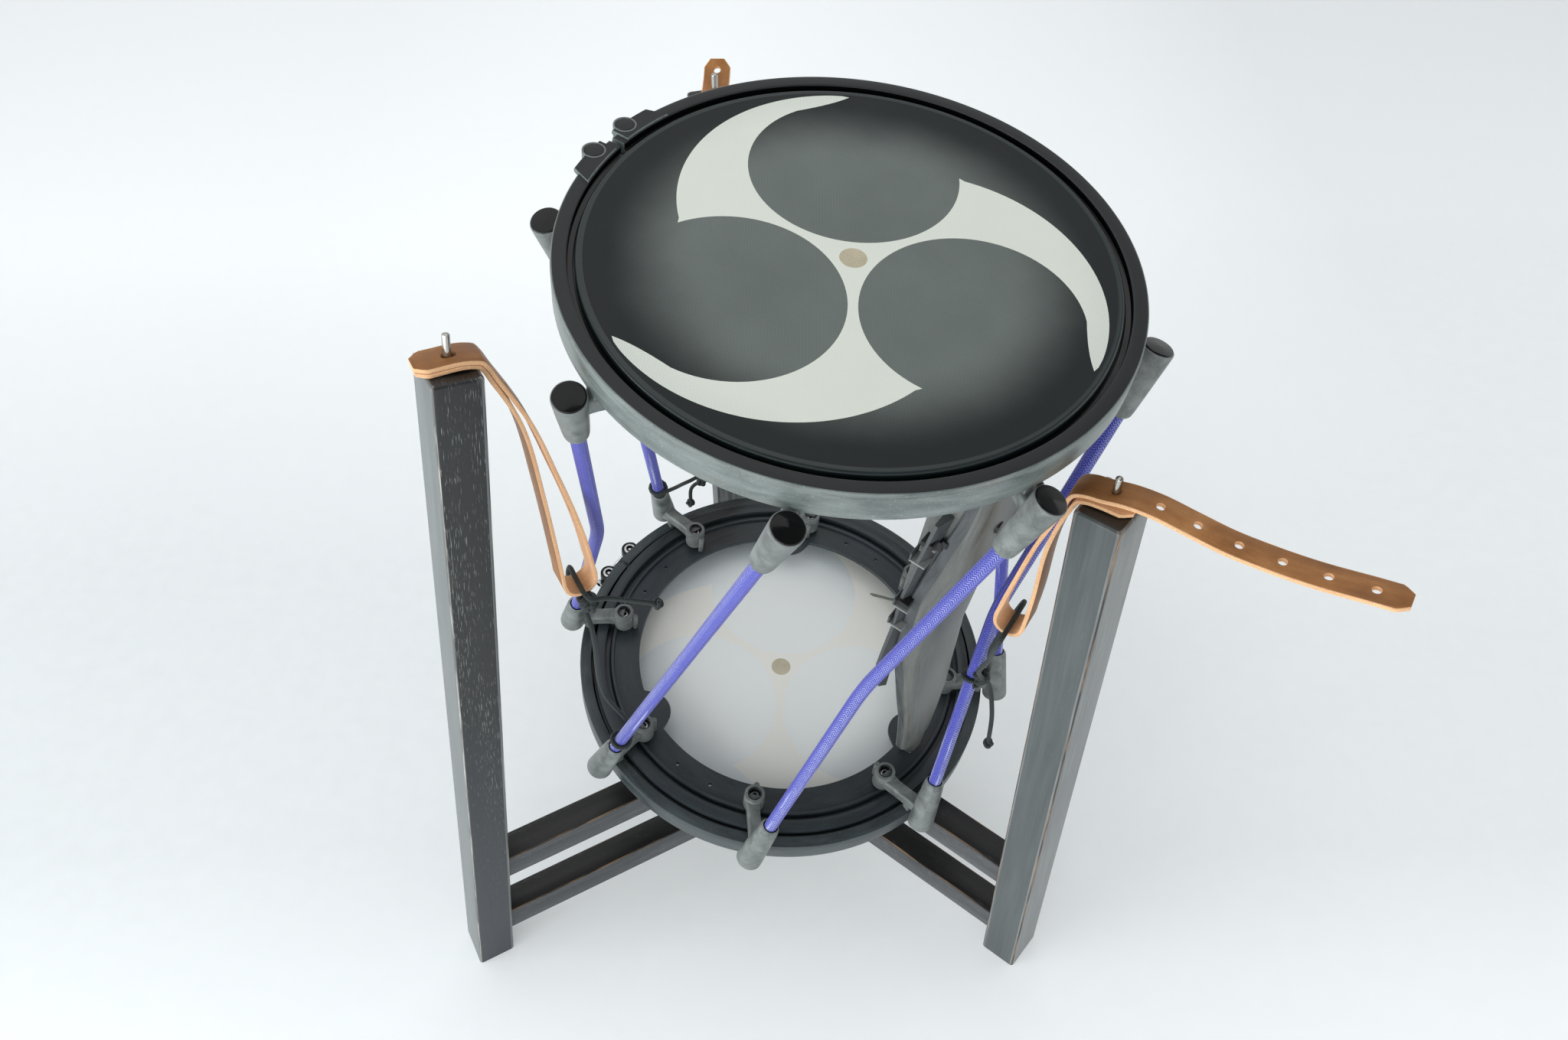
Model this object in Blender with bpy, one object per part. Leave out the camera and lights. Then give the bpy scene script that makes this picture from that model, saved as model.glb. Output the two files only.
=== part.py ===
"""Electronic taiko drum hung by three leather straps from a three-legged timber stand.

Metres, +Z up. The origin is on the floor under the middle of the object.
The drum is modelled about its own axis, from the outer face of its lower hoop,
and stands tilted in the stand. Both drum ends are alike and mirror each other.
"""
from math import atan2, ceil, cos, pi, radians, sin, sqrt, tan

import bmesh
import bpy
from mathutils import Matrix, Vector

# Clearances
seat_gap = 0.0003
layer_gap = 0.0004

# Stand timber
leg_depth = 0.036
leg_width = 0.0435
leg_edge = 0.003
rail_width = 0.0279
rail_height = 0.030
upper_rail_top = 0.1507
lower_rail_top = 0.057
tenon_width = 0.014
tenon_height = 0.018
tenon_length = 0.020
pin_radius = 0.00275
pin_above_leg = 0.025
pin_in_leg = 0.030

# Each leg: azimuth, radius of its foot, radius of its top, height
leg_places = {
    "left": (radians(209.0), 0.362, 0.249, 0.727),
    "right": (radians(321.0), 0.281, 0.279, 0.647),
    "back": (radians(104.2), 0.318, 0.250, 0.711),
}

# Drum body, each radius from the hoop inward or outward
drum_height = 0.565
hoop_radius = 0.205
hoop_height = 0.025
hoop_wall = 0.0112
hoop_inner_radius = hoop_radius - hoop_wall
hoop_lip = 0.0038
hoop_lip_radius = hoop_inner_radius - hoop_lip
hoop_lip_depth = 0.006
hoop_lip_height = 0.003
hoop_edge = 0.0012
split_azimuth = radians(149.0)
split_half_angle = radians(0.6)
barrel_radius = 0.0088
barrel_half_angle = radians(5.1)
barrel_rise = 0.0016
barrel_short = 0.0015
barrel_inset = 0.004
barrel_steps = 14
bolt_line_radius = hoop_radius + 0.0045
bolt_radius = 0.0025
bolt_head_radius = 0.0046
bolt_head_height = 0.0038
pad_rise = 0.0012
pad_sink = 0.002
pad_near_angle = radians(2.0)
pad_far_angle = radians(12.0)
pad_slant = radians(2.5)
pad_inset = 0.0005
pad_reach = 0.004
pad_steps = 3
head_radius = hoop_lip_radius - 0.004
head_depth = 0.0008
head_thickness = 0.0018
bead_width = 0.0025
skirt_thickness = 0.0008
flesh_hoop_radius = hoop_inner_radius - 0.0006
flesh_hoop_height = 0.0105
ring_wall_radius = head_radius - 0.006
plate_width = 0.034
ring_bore_radius = ring_wall_radius - plate_width
ring_flange_radius = hoop_inner_radius - 0.0032
ring_flange_depth = 0.030
ring_wall_edge = 0.002
plate_depth = 0.021
plate_thickness = 0.004
groove_width = 0.004
groove_depth = 0.002
rib_radius = ring_wall_radius - 0.009
rib_width = 0.003
rib_height = 0.003
lobe_radius = 0.022
lobe_centre_radius = ring_bore_radius + 0.004
lobe_inset = 0.0005
lobe_steps = 20
lobe_azimuths = [radians(88.5), radians(208.5), radians(328.5)]
plate_hole_radius = 0.002
plate_hole_steps = 8
plate_hole_circle = rib_radius - 0.010
plate_hole_angle = radians(6.7)
plate_hole_azimuths = [radians(58.5 + 90.0 * k) for k in range(4)]
drum_lean = radians(9.11)
drum_lean_azimuth = radians(-46.05)
drum_foot_x = -0.0143
drum_foot_y = 0.0337
drum_rest_gap = 0.0004
round_steps = 40

# Lugs and rods
lug_count = 8
first_lug_azimuth = radians(36.0)
boss_centre_radius = rib_radius - 0.005
boss_radius = 0.0100
boss_top = 0.050
counterbore_radius = 0.0055
counterbore_depth = 0.007
stub_radius = 0.0027
stub_offset = 0.0115
stub_top = 0.045
arm_low = 0.0312
arm_high = 0.047
arm_half_width = 0.0062
claw_radius = hoop_radius - 0.0055
claw_half_length = 0.0038
claw_half_width = 0.005
socket_foot_radius = hoop_radius + 0.0139
socket_foot_angle = radians(1.5)
socket_foot_height = 0.0238
socket_length = 0.060
socket_radius = 0.0108
socket_cap_radius = 0.0116
socket_cap_length = 0.009
socket_rim_width = 0.0016
socket_rim_rise = 0.0007
socket_dome = 0.002
socket_dome_share = 0.7
socket_shoulder = 0.004
claw_overlap = 0.002
counterbore_steps = 10
arm_steps = 5
socket_bore_depth = 0.032
rod_radius = 0.00575
rod_bend_inset = 0.023
rod_bend_radius = hoop_radius - rod_bend_inset
rod_bend_run = 0.020
rod_bend_steps = 4
lug_steps = 10

# Head sensors
sensor_centre_radius = head_radius - 0.0245
sensor_radius = 0.0165
sensor_tip_radius = 0.006
sensor_foot = 0.004
sensor_steps = 16
sensor_azimuths = [radians(91.0), radians(204.0), radians(332.0)]

# Sound module: its side sections are given by height over the lower ring's plate
# or depth under the upper one's, back and front inward of the rib, and half width
module_azimuth = radians(325.0)
module_front_curve = 0.170
module_steps = 6
module_low_sections = [
    (0.0, 0.021, 0.006, 0.012),
    (0.0707, 0.020, 0.006, 0.015),
    (0.1047, 0.017, 0.003, 0.028),
    (0.1467, 0.021, 0.000, 0.044),
    (0.2207, 0.0425, -0.001, 0.051),
    (0.2997, 0.0425, -0.001, 0.051),
]
module_high_sections = [
    (0.0967, 0.025, 0.002, 0.051),
    (0.0617, 0.021, 0.006, 0.048),
    (0.0477, 0.019, 0.005, 0.020),
    (0.0, 0.019, 0.005, 0.020),
]
cover_low_sections = [
    (0.1467, 0.028, 0.021, 0.040),
    (0.2057, 0.056, 0.038, 0.046),
    (0.2207, 0.056, 0.0425, 0.048),
    (0.2997, 0.056, 0.0425, 0.048),
]
cover_high_sections = [
    (0.1097, 0.054, 0.0269, 0.047),
    (0.0697, 0.045, 0.0220, 0.044),
]
cover_side = 0.006
cover_slope = 0.010
battery_bay_half_width = 0.030
battery_bay_low = 0.2327
battery_bay_high = 0.2947
battery_bay_depth = 0.017
battery_end_gap = 0.004
battery_count = 4
battery_steps = 12
battery_tray_half = 0.003
knob_radius = 0.0085
knob_height = 0.006
knob_base = 0.0012
knob_taper = 0.86
knob_offset = 0.026
knob_steps = 16
volume_knob_depth = 0.1197
knob_spacing = 0.035
spindle_radius = 0.0025
spindle_length = 0.006
button_radius = 0.0050
button_above = 0.0020
button_travel = 0.0015
button_well_depth = 0.008
button_depth = 0.1147

# Straps, each a band folded at an eye over a cord and laid on its pin
strap_width = 0.0225
strap_thickness = 0.0032
strap_clip = 0.007
strap_clip_share = 0.75
strap_hole_radius = 0.0031
strap_hole_pitch = 0.0275
strap_hole_steps = 8
# Holes counted from the pin's own one, which is 0; those above 1 lie below the bend
strap_hole_numbers = [-6, -5, -4, -3, -2, -1, 2, 3, 4, 5, 6, 7]
strap_step = 0.013
strap_azimuths = {"left": radians(209.0), "right": radians(329.0), "back": radians(88.0)}
strap_eyes = {"left": 0.0129, "right": 0.0109, "back": 0.0109}
# How far the strap's bend is kept inward of the leg's inner edge
strap_bend_shift = {"left": 0.0, "right": 0.0022, "back": 0.0060}
# How much the upper layer rises over the lower one at the bend
strap_bend_lift = {"left": 0.0, "right": 0.002, "back": 0.0}
# Middle of each layer outward of the pin and above the top of the leg, from the free end
lower_tails = {
    "left": [(0.0225, 0.0047), (0.0120, 0.0040)],
    "right": [(0.0155, 0.0023), (0.0050, 0.0026), (-0.0060, 0.0032)],
    "back": [(0.0200, 0.0052), (0.0100, 0.0036)],
}
upper_tails = {
    "left": [(0.0225, 0.0090), (0.0120, 0.0078)],
    "right": [(0.1860, 0.0144), (0.1630, 0.0112), (0.1330, 0.0070), (0.1050, 0.0050), (0.0800, 0.0052),
              (0.0500, 0.0092), (0.0270, 0.0122), (0.0080, 0.0118), (-0.0060, 0.0092)],
    "back": [(0.0330, 0.0200), (0.0290, 0.0138), (0.0220, 0.0098), (0.0120, 0.0078)],
}
# Line between the two layers under the bend, down to the middle of the eye
strap_falls = {
    "left": [(-0.0380, -0.0570), (-0.0470, -0.1270), (-0.0525, -0.1970), (-0.0540, -0.2400)],
    "right": [(-0.0380, -0.0500), (-0.0470, -0.1100), (-0.0530, -0.1500)],
    "back": [(-0.0260, -0.0590), (-0.0180, -0.1940), (-0.0040, -0.3540), (0.0020, -0.4340)],
}

# Cords, each wound round a rod over its lug, then through a strap's eye
cord_radius = 0.0021
cord_step = 0.010
cord_wrap_turns = 1.15
cord_wrap_steps = 14
cord_wrap_rise = 0.006
cord_overhang = 0.006
# The rod's number, how far up from the lug's foot the winding starts and where round the rod
cord_wraps = {
    "left": (5, 0.072, radians(150.0)),
    "right": (7, 0.190, radians(20.0)),
    "back": (3, 0.070, radians(178.0)),
}
# Free points before the eye and after it, in the stand's coordinates
cord_before_eye = {
    "left": [(-0.1640, -0.1090, 0.340), (-0.1672, -0.1035, 0.454), (-0.1740, -0.0920, 0.462),
             (-0.1812, -0.0800, 0.466)],
    "right": [(0.1655, -0.1180, 0.415)],
    "back": [(-0.1150, 0.2150, 0.276)],
}
cord_after_eye = {
    "left": [(-0.1590, -0.1085, 0.4690), (-0.1500, -0.1045, 0.4655), (-0.1332, -0.1040, 0.4630),
             (-0.1068, -0.1050, 0.4590)],
    "right": [(0.1580, -0.1480, 0.440), (0.1600, -0.1190, 0.378), (0.1690, -0.1135, 0.360),
              (0.1750, -0.1170, 0.325), (0.1765, -0.1180, 0.275)],
    "back": [(-0.0500, 0.2450, 0.2550), (-0.0760, 0.2450, 0.2520), (-0.1010, 0.2400, 0.2530),
             (-0.1130, 0.2380, 0.2460), (-0.1180, 0.2370, 0.2200)],
}


def clear_scene():
    for item in list(bpy.data.objects):
        bpy.data.objects.remove(item, do_unlink=True)


def make_material(name, colour, roughness, metallic=0.0):
    material = bpy.data.materials.new(name)
    material.use_nodes = True
    shader = material.node_tree.nodes["Principled BSDF"]
    shader.inputs["Base Color"].default_value = (*colour, 1.0)
    shader.inputs["Roughness"].default_value = roughness
    shader.inputs["Metallic"].default_value = metallic
    return material


def make_empty(name, matrix, parent=None):
    empty = bpy.data.objects.new(name, None)
    bpy.context.scene.collection.objects.link(empty)
    empty.parent = parent
    empty.matrix_local = matrix
    return empty


def finish_mesh(bm, name):
    bmesh.ops.recalc_face_normals(bm, faces=bm.faces[:])
    mesh = bpy.data.meshes.new(name)
    bm.to_mesh(mesh)
    bm.free()
    return mesh


def place(name, mesh, material, matrix, parent):
    """Add a named piece that shows the given mesh."""
    piece = bpy.data.objects.new(name, mesh)
    bpy.context.scene.collection.objects.link(piece)
    if not mesh.materials:
        mesh.materials.append(material)
        mesh.shade_smooth()
        mesh.set_sharp_from_angle(angle=radians(35.0))
    piece.parent = parent
    piece.matrix_local = matrix
    return piece


def combine(base, added=(), removed=()):
    """Join solids to a base mesh, take others away and return the new mesh."""
    holder = bpy.data.objects.new("work_piece", base)
    bpy.context.scene.collection.objects.link(holder)
    helpers = []
    for meshes, operation in ((added, "UNION"), (removed, "DIFFERENCE")):
        for mesh in meshes:
            helper = bpy.data.objects.new("work_tool", mesh)
            bpy.context.scene.collection.objects.link(helper)
            helpers.append(helper)
            step = holder.modifiers.new("step", "BOOLEAN")
            step.operation = operation
            step.object = helper
    view = bpy.context.evaluated_depsgraph_get()
    view.update()
    result = bpy.data.meshes.new_from_object(holder.evaluated_get(view))
    for item in [holder, *helpers]:
        bpy.data.objects.remove(item, do_unlink=True)
    return result


def round_angles(start=None, end=None):
    """Angles of one shared division of the circle, or those between two angles."""
    step = 2.0 * pi / round_steps
    if start is None:
        return [step * i for i in range(round_steps)]
    first = ceil(start / step + 0.3)
    inner = [step * i for i in range(first, first + round_steps) if step * i < end - 0.3 * step]
    return [start, *inner, end]


def turned_ring(outline, name, start=None, end=None):
    """Turn a closed (radius, height) outline about Z, all round or between two angles."""
    bm = bmesh.new()
    angles = round_angles(start, end)
    rows = [[bm.verts.new((r * cos(a), r * sin(a), z)) for r, z in outline] for a in angles]
    whole = start is None
    count = len(outline)
    for i in range(len(rows) if whole else len(rows) - 1):
        row = rows[i]
        ahead = rows[(i + 1) % len(rows)]
        for j in range(count):
            k = (j + 1) % count
            bm.faces.new((row[j], ahead[j], ahead[k], row[k]))
    if not whole:
        bm.faces.new(rows[0])
        bm.faces.new(rows[-1][::-1])
    return finish_mesh(bm, name)


def turned_solid(outline, name, steps, matrix=Matrix()):
    """Turn an open (radius, height) outline, whose ends lie on the axis, about Z."""
    bm = bmesh.new()
    first = bm.verts.new((0.0, 0.0, outline[0][1]))
    last = bm.verts.new((0.0, 0.0, outline[-1][1]))
    rows = []
    for i in range(steps):
        a = 2.0 * pi * i / steps
        rows.append([bm.verts.new((r * cos(a), r * sin(a), z)) for r, z in outline[1:-1]])
    for i in range(steps):
        row = rows[i]
        ahead = rows[(i + 1) % steps]
        bm.faces.new((first, ahead[0], row[0]))
        bm.faces.new((last, row[-1], ahead[-1]))
        for j in range(len(row) - 1):
            bm.faces.new((row[j], ahead[j], ahead[j + 1], row[j + 1]))
    bm.transform(matrix)
    return finish_mesh(bm, name)


def cylinder(radius, low, high, name, steps=lug_steps, matrix=Matrix()):
    return turned_solid([(0, low), (radius, low), (radius, high), (0, high)], name, steps, matrix)


def lofted(sections, name, matrix=Matrix()):
    """Skin equal closed sections of 3-D points and close both ends."""
    bm = bmesh.new()
    rows = [[bm.verts.new(point) for point in section] for section in sections]
    count = len(rows[0])
    for row, ahead in zip(rows, rows[1:]):
        for j in range(count):
            k = (j + 1) % count
            bm.faces.new((row[j], row[k], ahead[k], ahead[j]))
    bm.faces.new(rows[0][::-1])
    bm.faces.new(rows[-1])
    bm.transform(matrix)
    return finish_mesh(bm, name)


def prism(outline, low, high, name, matrix=Matrix()):
    """Raise an (x, y) outline from one height to another."""
    return lofted([[(x, y, z) for x, y in outline] for z in (low, high)], name, matrix)


def block(x_range, y_range, z_range, name):
    (x0, x1), (y0, y1) = x_range, y_range
    return prism([(x0, y0), (x1, y0), (x1, y1), (x0, y1)], *z_range, name)


def smooth_ratio(t):
    t = min(max(t, 0.0), 1.0)
    return t * t * (3.0 - 2.0 * t)


def smooth_path(points, spacing):
    """Points about a spacing apart on a smooth curve through the given points."""
    points = [Vector(p) for p in points]
    runs = [ahead - point for point, ahead in zip(points, points[1:])]
    slopes = [runs[0].normalized()]
    for run, after in zip(runs, runs[1:]):
        slopes.append((run.normalized() * after.length + after.normalized() * run.length)
                      / (run.length + after.length))
    slopes.append(runs[-1].normalized())
    path = [points[0]]
    for i, run in enumerate(runs):
        steps = max(1, round(run.length / spacing))
        for j in range(1, steps + 1):
            t = j / steps
            path.append(points[i] + run * smooth_ratio(t)
                        + run.length * t * (1 - t) * ((1 - t) * slopes[i] - t * slopes[i + 1]))
    return path


def add_tube(name, path, radius, material, parent, resolution=2):
    """A round tube with closed ends along a path."""
    curve = bpy.data.curves.new(name, "CURVE")
    curve.dimensions = "3D"
    curve.bevel_depth = radius
    curve.bevel_resolution = resolution
    curve.use_fill_caps = True
    spline = curve.splines.new("POLY")
    spline.points.add(len(path) - 1)
    for point, place_on_path in zip(spline.points, path):
        point.co = (*place_on_path, 1.0)
    curve.materials.append(material)
    tube = bpy.data.objects.new(name, curve)
    bpy.context.scene.collection.objects.link(tube)
    tube.parent = parent
    return tube


def spin(azimuth):
    return Matrix.Rotation(azimuth, 4, "Z")


def leg_radius_at(place_of_leg, height):
    _, foot, top, leg_height = place_of_leg
    return foot + (top - foot) * height / leg_height


def rail_levels(top):
    return top - rail_height, top


def leg_axis(side):
    _, foot, top, height = leg_places[side]
    return Vector((top - foot, 0, height)).normalized()


def leg_top(side):
    """Middle of the leg's top face, which is cut square to the leg."""
    _, _, top, height = leg_places[side]
    return Vector((top, 0, height + leg_axis(side).x * leg_depth / 2))


def leg_top_frame(side):
    """Frame on the leg's top, its Z along the leg and its X outward, in the leg's plane."""
    axis = leg_axis(side)
    outward = Vector((axis.z, 0, -axis.x))
    turn = Matrix((outward, Vector((0, 1, 0)), axis)).transposed().to_4x4()
    return Matrix.Translation(leg_top(side)) @ turn


def make_leg(side, material, steel, parent):
    azimuth, foot, _, _ = leg_places[side]
    top_frame = leg_top_frame(side)
    bm = bmesh.new()
    corners = [(-1, -1), (1, -1), (1, 1), (-1, 1)]
    low = [bm.verts.new((foot + sx * leg_depth / 2, sy * leg_width / 2, 0)) for sx, sy in corners]
    high = [bm.verts.new(top_frame @ Vector((sx * leg_depth / 2, sy * leg_width / 2, 0)))
            for sx, sy in corners]
    bm.faces.new(low[::-1])
    bm.faces.new(high)
    for j in range(4):
        k = (j + 1) % 4
        bm.faces.new((low[j], low[k], high[k], high[j]))
    soft_edges = [e for e in bm.edges if max(v.co.z for v in e.verts) > 0.0]
    bmesh.ops.bevel(bm, geom=soft_edges, offset=leg_edge, segments=2, profile=0.5, affect="EDGES")
    leg = finish_mesh(bm, "leg_" + side)
    cutters = []
    for rail_top in (upper_rail_top, lower_rail_top):
        middle = rail_top - rail_height / 2
        inner = leg_radius_at(leg_places[side], middle) - leg_depth / 2
        reach = tenon_length + 2 * seat_gap
        half_width = tenon_width / 2 + seat_gap
        half_height = tenon_height / 2 + seat_gap
        cutters.append(block((inner - leg_depth / 2, inner + reach), (-half_width, half_width),
                             (middle - half_height, middle + half_height), "mortise"))
    cutters.append(cylinder(pin_radius + seat_gap, -pin_in_leg - seat_gap, leg_edge, "pin_hole", lug_steps,
                            top_frame))
    place("leg_" + side, combine(leg, removed=cutters), material, spin(azimuth), parent)
    pin = turned_solid([(0, -pin_in_leg), (pin_radius, -pin_in_leg),
                        (pin_radius, pin_above_leg - pin_radius / 2), (pin_radius / 2, pin_above_leg),
                        (0, pin_above_leg)], "strap_pin_" + side, lug_steps)
    place("strap_pin_" + side, pin, steel, spin(azimuth) @ top_frame, parent)


def make_rail(name, side, rail_top, material, parent):
    """A rail from its leg to the middle, where three mitred ends meet."""
    azimuth = leg_places[side][0]
    turns = sorted((other[0] - azimuth) % (2 * pi) for key, other in leg_places.items() if key != side)
    ahead, behind = turns[0] / 2, (2 * pi - turns[1]) / 2
    half = rail_width / 2
    sections = []
    for z in rail_levels(rail_top):
        outer = leg_radius_at(leg_places[side], z) - leg_depth / 2 - seat_gap
        sections.append([(seat_gap, 0, z), (seat_gap + half / tan(behind), -half, z), (outer, -half, z),
                         (outer, half, z), (seat_gap + half / tan(ahead), half, z)])
    middle = rail_top - rail_height / 2
    shoulder = leg_radius_at(leg_places[side], middle) - leg_depth / 2
    tenon = block((shoulder - tenon_length, shoulder + tenon_length), (-tenon_width / 2, tenon_width / 2),
                  (middle - tenon_height / 2, middle + tenon_height / 2), "tenon")
    rail = combine(lofted(sections, name), added=[tenon])
    place(name, rail, material, spin(azimuth), parent)


def hoop_outline():
    e = hoop_edge
    r = hoop_radius
    lip_low, lip_high = hoop_lip_depth, hoop_lip_depth + hoop_lip_height
    return [(r - e, 0), (r, e), (r, hoop_height - e), (r - e, hoop_height), (hoop_inner_radius, hoop_height),
            (hoop_inner_radius, lip_high), (hoop_lip_radius, lip_high), (hoop_lip_radius, lip_low),
            (hoop_inner_radius, lip_low), (hoop_inner_radius + e, 0)]


def bolt_frame(height):
    """Frame on the draw bolt's line: Z along the bolt, X outward."""
    tangent = split_azimuth + pi / 2
    spot = Vector((bolt_line_radius * cos(split_azimuth), bolt_line_radius * sin(split_azimuth), height))
    along = Vector((cos(tangent), sin(tangent), 0))
    outward = Vector((cos(split_azimuth), sin(split_azimuth), 0))
    frame = Matrix((outward, along.cross(outward), along)).transposed().to_4x4()
    return Matrix.Translation(spot) @ frame


def clamp_pad(side):
    """A raised plate on the hoop's outer face beside its split, with a slanted far end."""
    inner = hoop_inner_radius + pad_inset
    outer = hoop_radius + pad_reach
    outline = []
    for radius, far in ((inner, pad_far_angle + pad_slant), (outer, pad_far_angle)):
        arc = []
        for i in range(pad_steps + 1):
            a = split_azimuth + side * (pad_near_angle + (far - pad_near_angle) * i / pad_steps)
            arc.append((radius * cos(a), radius * sin(a)))
        outline += arc if radius == inner else arc[::-1]
    return prism(outline, -pad_rise, pad_sink, "pad")


def make_hoop(name, material, bolt_material, matrix, parent):
    start = split_azimuth + split_half_angle
    hoop = turned_ring(hoop_outline(), name, start, start + 2 * pi - 2 * split_half_angle)
    along = bolt_line_radius * tan(barrel_half_angle)
    clamp = []
    for side in (-1, 1):
        spot = bolt_frame(0) @ Vector((-barrel_inset, 0, side * along))
        clamp.append(cylinder(barrel_radius, -barrel_rise, hoop_height - barrel_short, "barrel", barrel_steps,
                              Matrix.Translation(spot)))
        clamp.append(clamp_pad(side))
    frame = bolt_frame(hoop_height / 2)
    reach = along + barrel_radius
    hole = cylinder(bolt_radius + seat_gap, -reach - barrel_radius, reach + barrel_radius, "bolt_hole",
                    lug_steps, frame)
    place(name, combine(hoop, added=clamp, removed=[hole]), material, matrix, parent)
    inner = reach + seat_gap
    outer = inner + bolt_head_height
    bolt = turned_solid([(0, -outer), (bolt_head_radius, -outer), (bolt_head_radius, -inner),
                         (bolt_radius, -inner), (bolt_radius, inner), (bolt_head_radius, inner),
                         (bolt_head_radius, outer), (0, outer)], name + "_bolt", 6)
    place(name + "_bolt", bolt, bolt_material, matrix @ frame, parent)


def head_outline():
    deep = head_depth + head_thickness
    bead = head_radius + bead_width
    skirt = bead + skirt_thickness / 2
    hoop_low = hoop_lip_depth + hoop_lip_height + seat_gap
    hoop_high = hoop_low + flesh_hoop_height
    return [(0, head_depth), (head_radius, head_depth), (head_radius + bead_width / 2, head_depth / 3),
            (skirt, head_depth), (skirt, hoop_low), (flesh_hoop_radius, hoop_low), (flesh_hoop_radius, hoop_high),
            (skirt - skirt_thickness, hoop_high), (skirt - skirt_thickness, deep), (0, deep)]


def make_head(name, material, matrix, parent):
    place(name, turned_solid(head_outline(), name, round_steps), material, matrix, parent)


def ring_outline():
    edge = head_depth + head_thickness + seat_gap
    wall_outer = head_radius + bead_width - skirt_thickness / 2 - seat_gap
    under_flange = hoop_lip_depth + hoop_lip_height + flesh_hoop_height + 3 * seat_gap
    top = plate_depth + plate_thickness
    return [(ring_bore_radius, plate_depth), (ring_wall_radius, plate_depth), (ring_wall_radius, 2 * edge),
            (ring_wall_radius + ring_wall_edge, edge), (wall_outer - ring_wall_edge, edge), (wall_outer, 2 * edge),
            (wall_outer, under_flange), (ring_flange_radius, under_flange), (ring_flange_radius, ring_flange_depth),
            (ring_wall_radius, ring_flange_depth), (ring_wall_radius, top - groove_depth),
            (ring_wall_radius - groove_width, top - groove_depth), (rib_radius + rib_width, top + rib_height),
            (rib_radius, top + rib_height), (rib_radius, top), (ring_bore_radius, top)]


def make_ring(name, material, matrix, parent):
    top = plate_depth + plate_thickness
    lobes = []
    for azimuth in lobe_azimuths:
        spot = spin(azimuth) @ Matrix.Translation((lobe_centre_radius, 0, 0))
        lobes.append(cylinder(lobe_radius, plate_depth + lobe_inset, top - lobe_inset, "lobe", lobe_steps, spot))
    holes = []
    for azimuth in plate_hole_azimuths:
        for side in (-1, 1):
            spot = spin(azimuth + side * plate_hole_angle) @ Matrix.Translation((plate_hole_circle, 0, 0))
            holes.append(cylinder(plate_hole_radius, plate_depth - lobe_inset, top + lobe_inset, "hole",
                                  plate_hole_steps, spot))
    place(name, combine(turned_ring(ring_outline(), name), added=lobes, removed=holes), material, matrix, parent)


def socket_foot():
    a = socket_foot_angle
    return Vector((socket_foot_radius * cos(a), socket_foot_radius * sin(a), socket_foot_height))


def rod_bend():
    a = pi / lug_count
    return Vector((rod_bend_radius * cos(a), rod_bend_radius * sin(a), drum_height / 2))


def socket_frame():
    axis = (rod_bend() - socket_foot()).normalized()
    return Matrix.Translation(socket_foot()) @ axis.to_track_quat("Z", "X").to_matrix().to_4x4()


def lug_mesh():
    """One cast lug: screw boss, stub, curved arm, claw over the hoop and rod socket."""
    base = plate_depth + plate_thickness + seat_gap
    over_rib = base + rib_height
    foot_radius = rib_radius - boss_centre_radius - seat_gap
    boss = turned_solid([(0, base), (foot_radius, base), (foot_radius, over_rib), (boss_radius, over_rib),
                         (boss_radius, boss_top), (0, boss_top)], "boss", lug_steps,
                        Matrix.Translation((boss_centre_radius, 0, 0)))
    stub = cylinder(stub_radius, base, stub_top, "stub", 8,
                    Matrix.Translation((boss_centre_radius - stub_offset, 0, 0)))
    frame = socket_frame()
    middle = (arm_low + arm_high) / 2
    axis = (rod_bend() - socket_foot()).normalized()
    target = socket_foot() + axis * ((middle - socket_foot_height) / axis.z)
    points = []
    for i in range(arm_steps + 1):
        t = i / arm_steps
        points.append(Vector((boss_centre_radius + (target.x - boss_centre_radius) * t,
                              target.y * smooth_ratio(t), 0)))
    left, right = [], []
    for i, point in enumerate(points):
        run = points[min(i + 1, arm_steps)] - points[max(i - 1, 0)]
        side = Vector((-run.y, run.x, 0)).normalized() * arm_half_width
        left.append((point + side).xy[:])
        right.append((point - side).xy[:])
    arm = prism(right + left[::-1], arm_low, arm_high, "arm")
    t = (claw_radius - boss_centre_radius) / (target.x - boss_centre_radius)
    claw_middle = target.y * smooth_ratio(t)
    claw = block((claw_radius - claw_half_length, claw_radius + claw_half_length),
                 (claw_middle - claw_half_width, claw_middle + claw_half_width),
                 (hoop_height + seat_gap, arm_low + claw_overlap), "claw")
    cap = socket_cap_length
    rim = socket_cap_radius + socket_rim_rise
    bore = rod_radius + seat_gap
    floor = socket_length - socket_bore_depth
    socket = turned_solid([(0, -socket_dome), (socket_cap_radius * socket_dome_share, -socket_dome / 4),
                           (socket_cap_radius, socket_shoulder),
                           (socket_cap_radius, cap), (rim, cap), (rim, cap + socket_rim_width),
                           (socket_radius, cap + socket_rim_width), (socket_radius, socket_length),
                           (bore, socket_length), (bore, floor), (0, floor)],
                          "socket", lug_steps, frame)
    counterbore = cylinder(counterbore_radius, boss_top - counterbore_depth, boss_top + counterbore_depth,
                           "counterbore", counterbore_steps, Matrix.Translation((boss_centre_radius, 0, 0)))
    return combine(boss, added=[stub, arm, claw, socket], removed=[counterbore])


def flip():
    """Turns a piece of the lower drum end into the matching piece of the upper end."""
    return Matrix.Translation((0, 0, drum_height)) @ Matrix.Rotation(pi, 4, "X")


def lug_azimuth(number):
    return first_lug_azimuth + 2 * pi * number / lug_count


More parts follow.
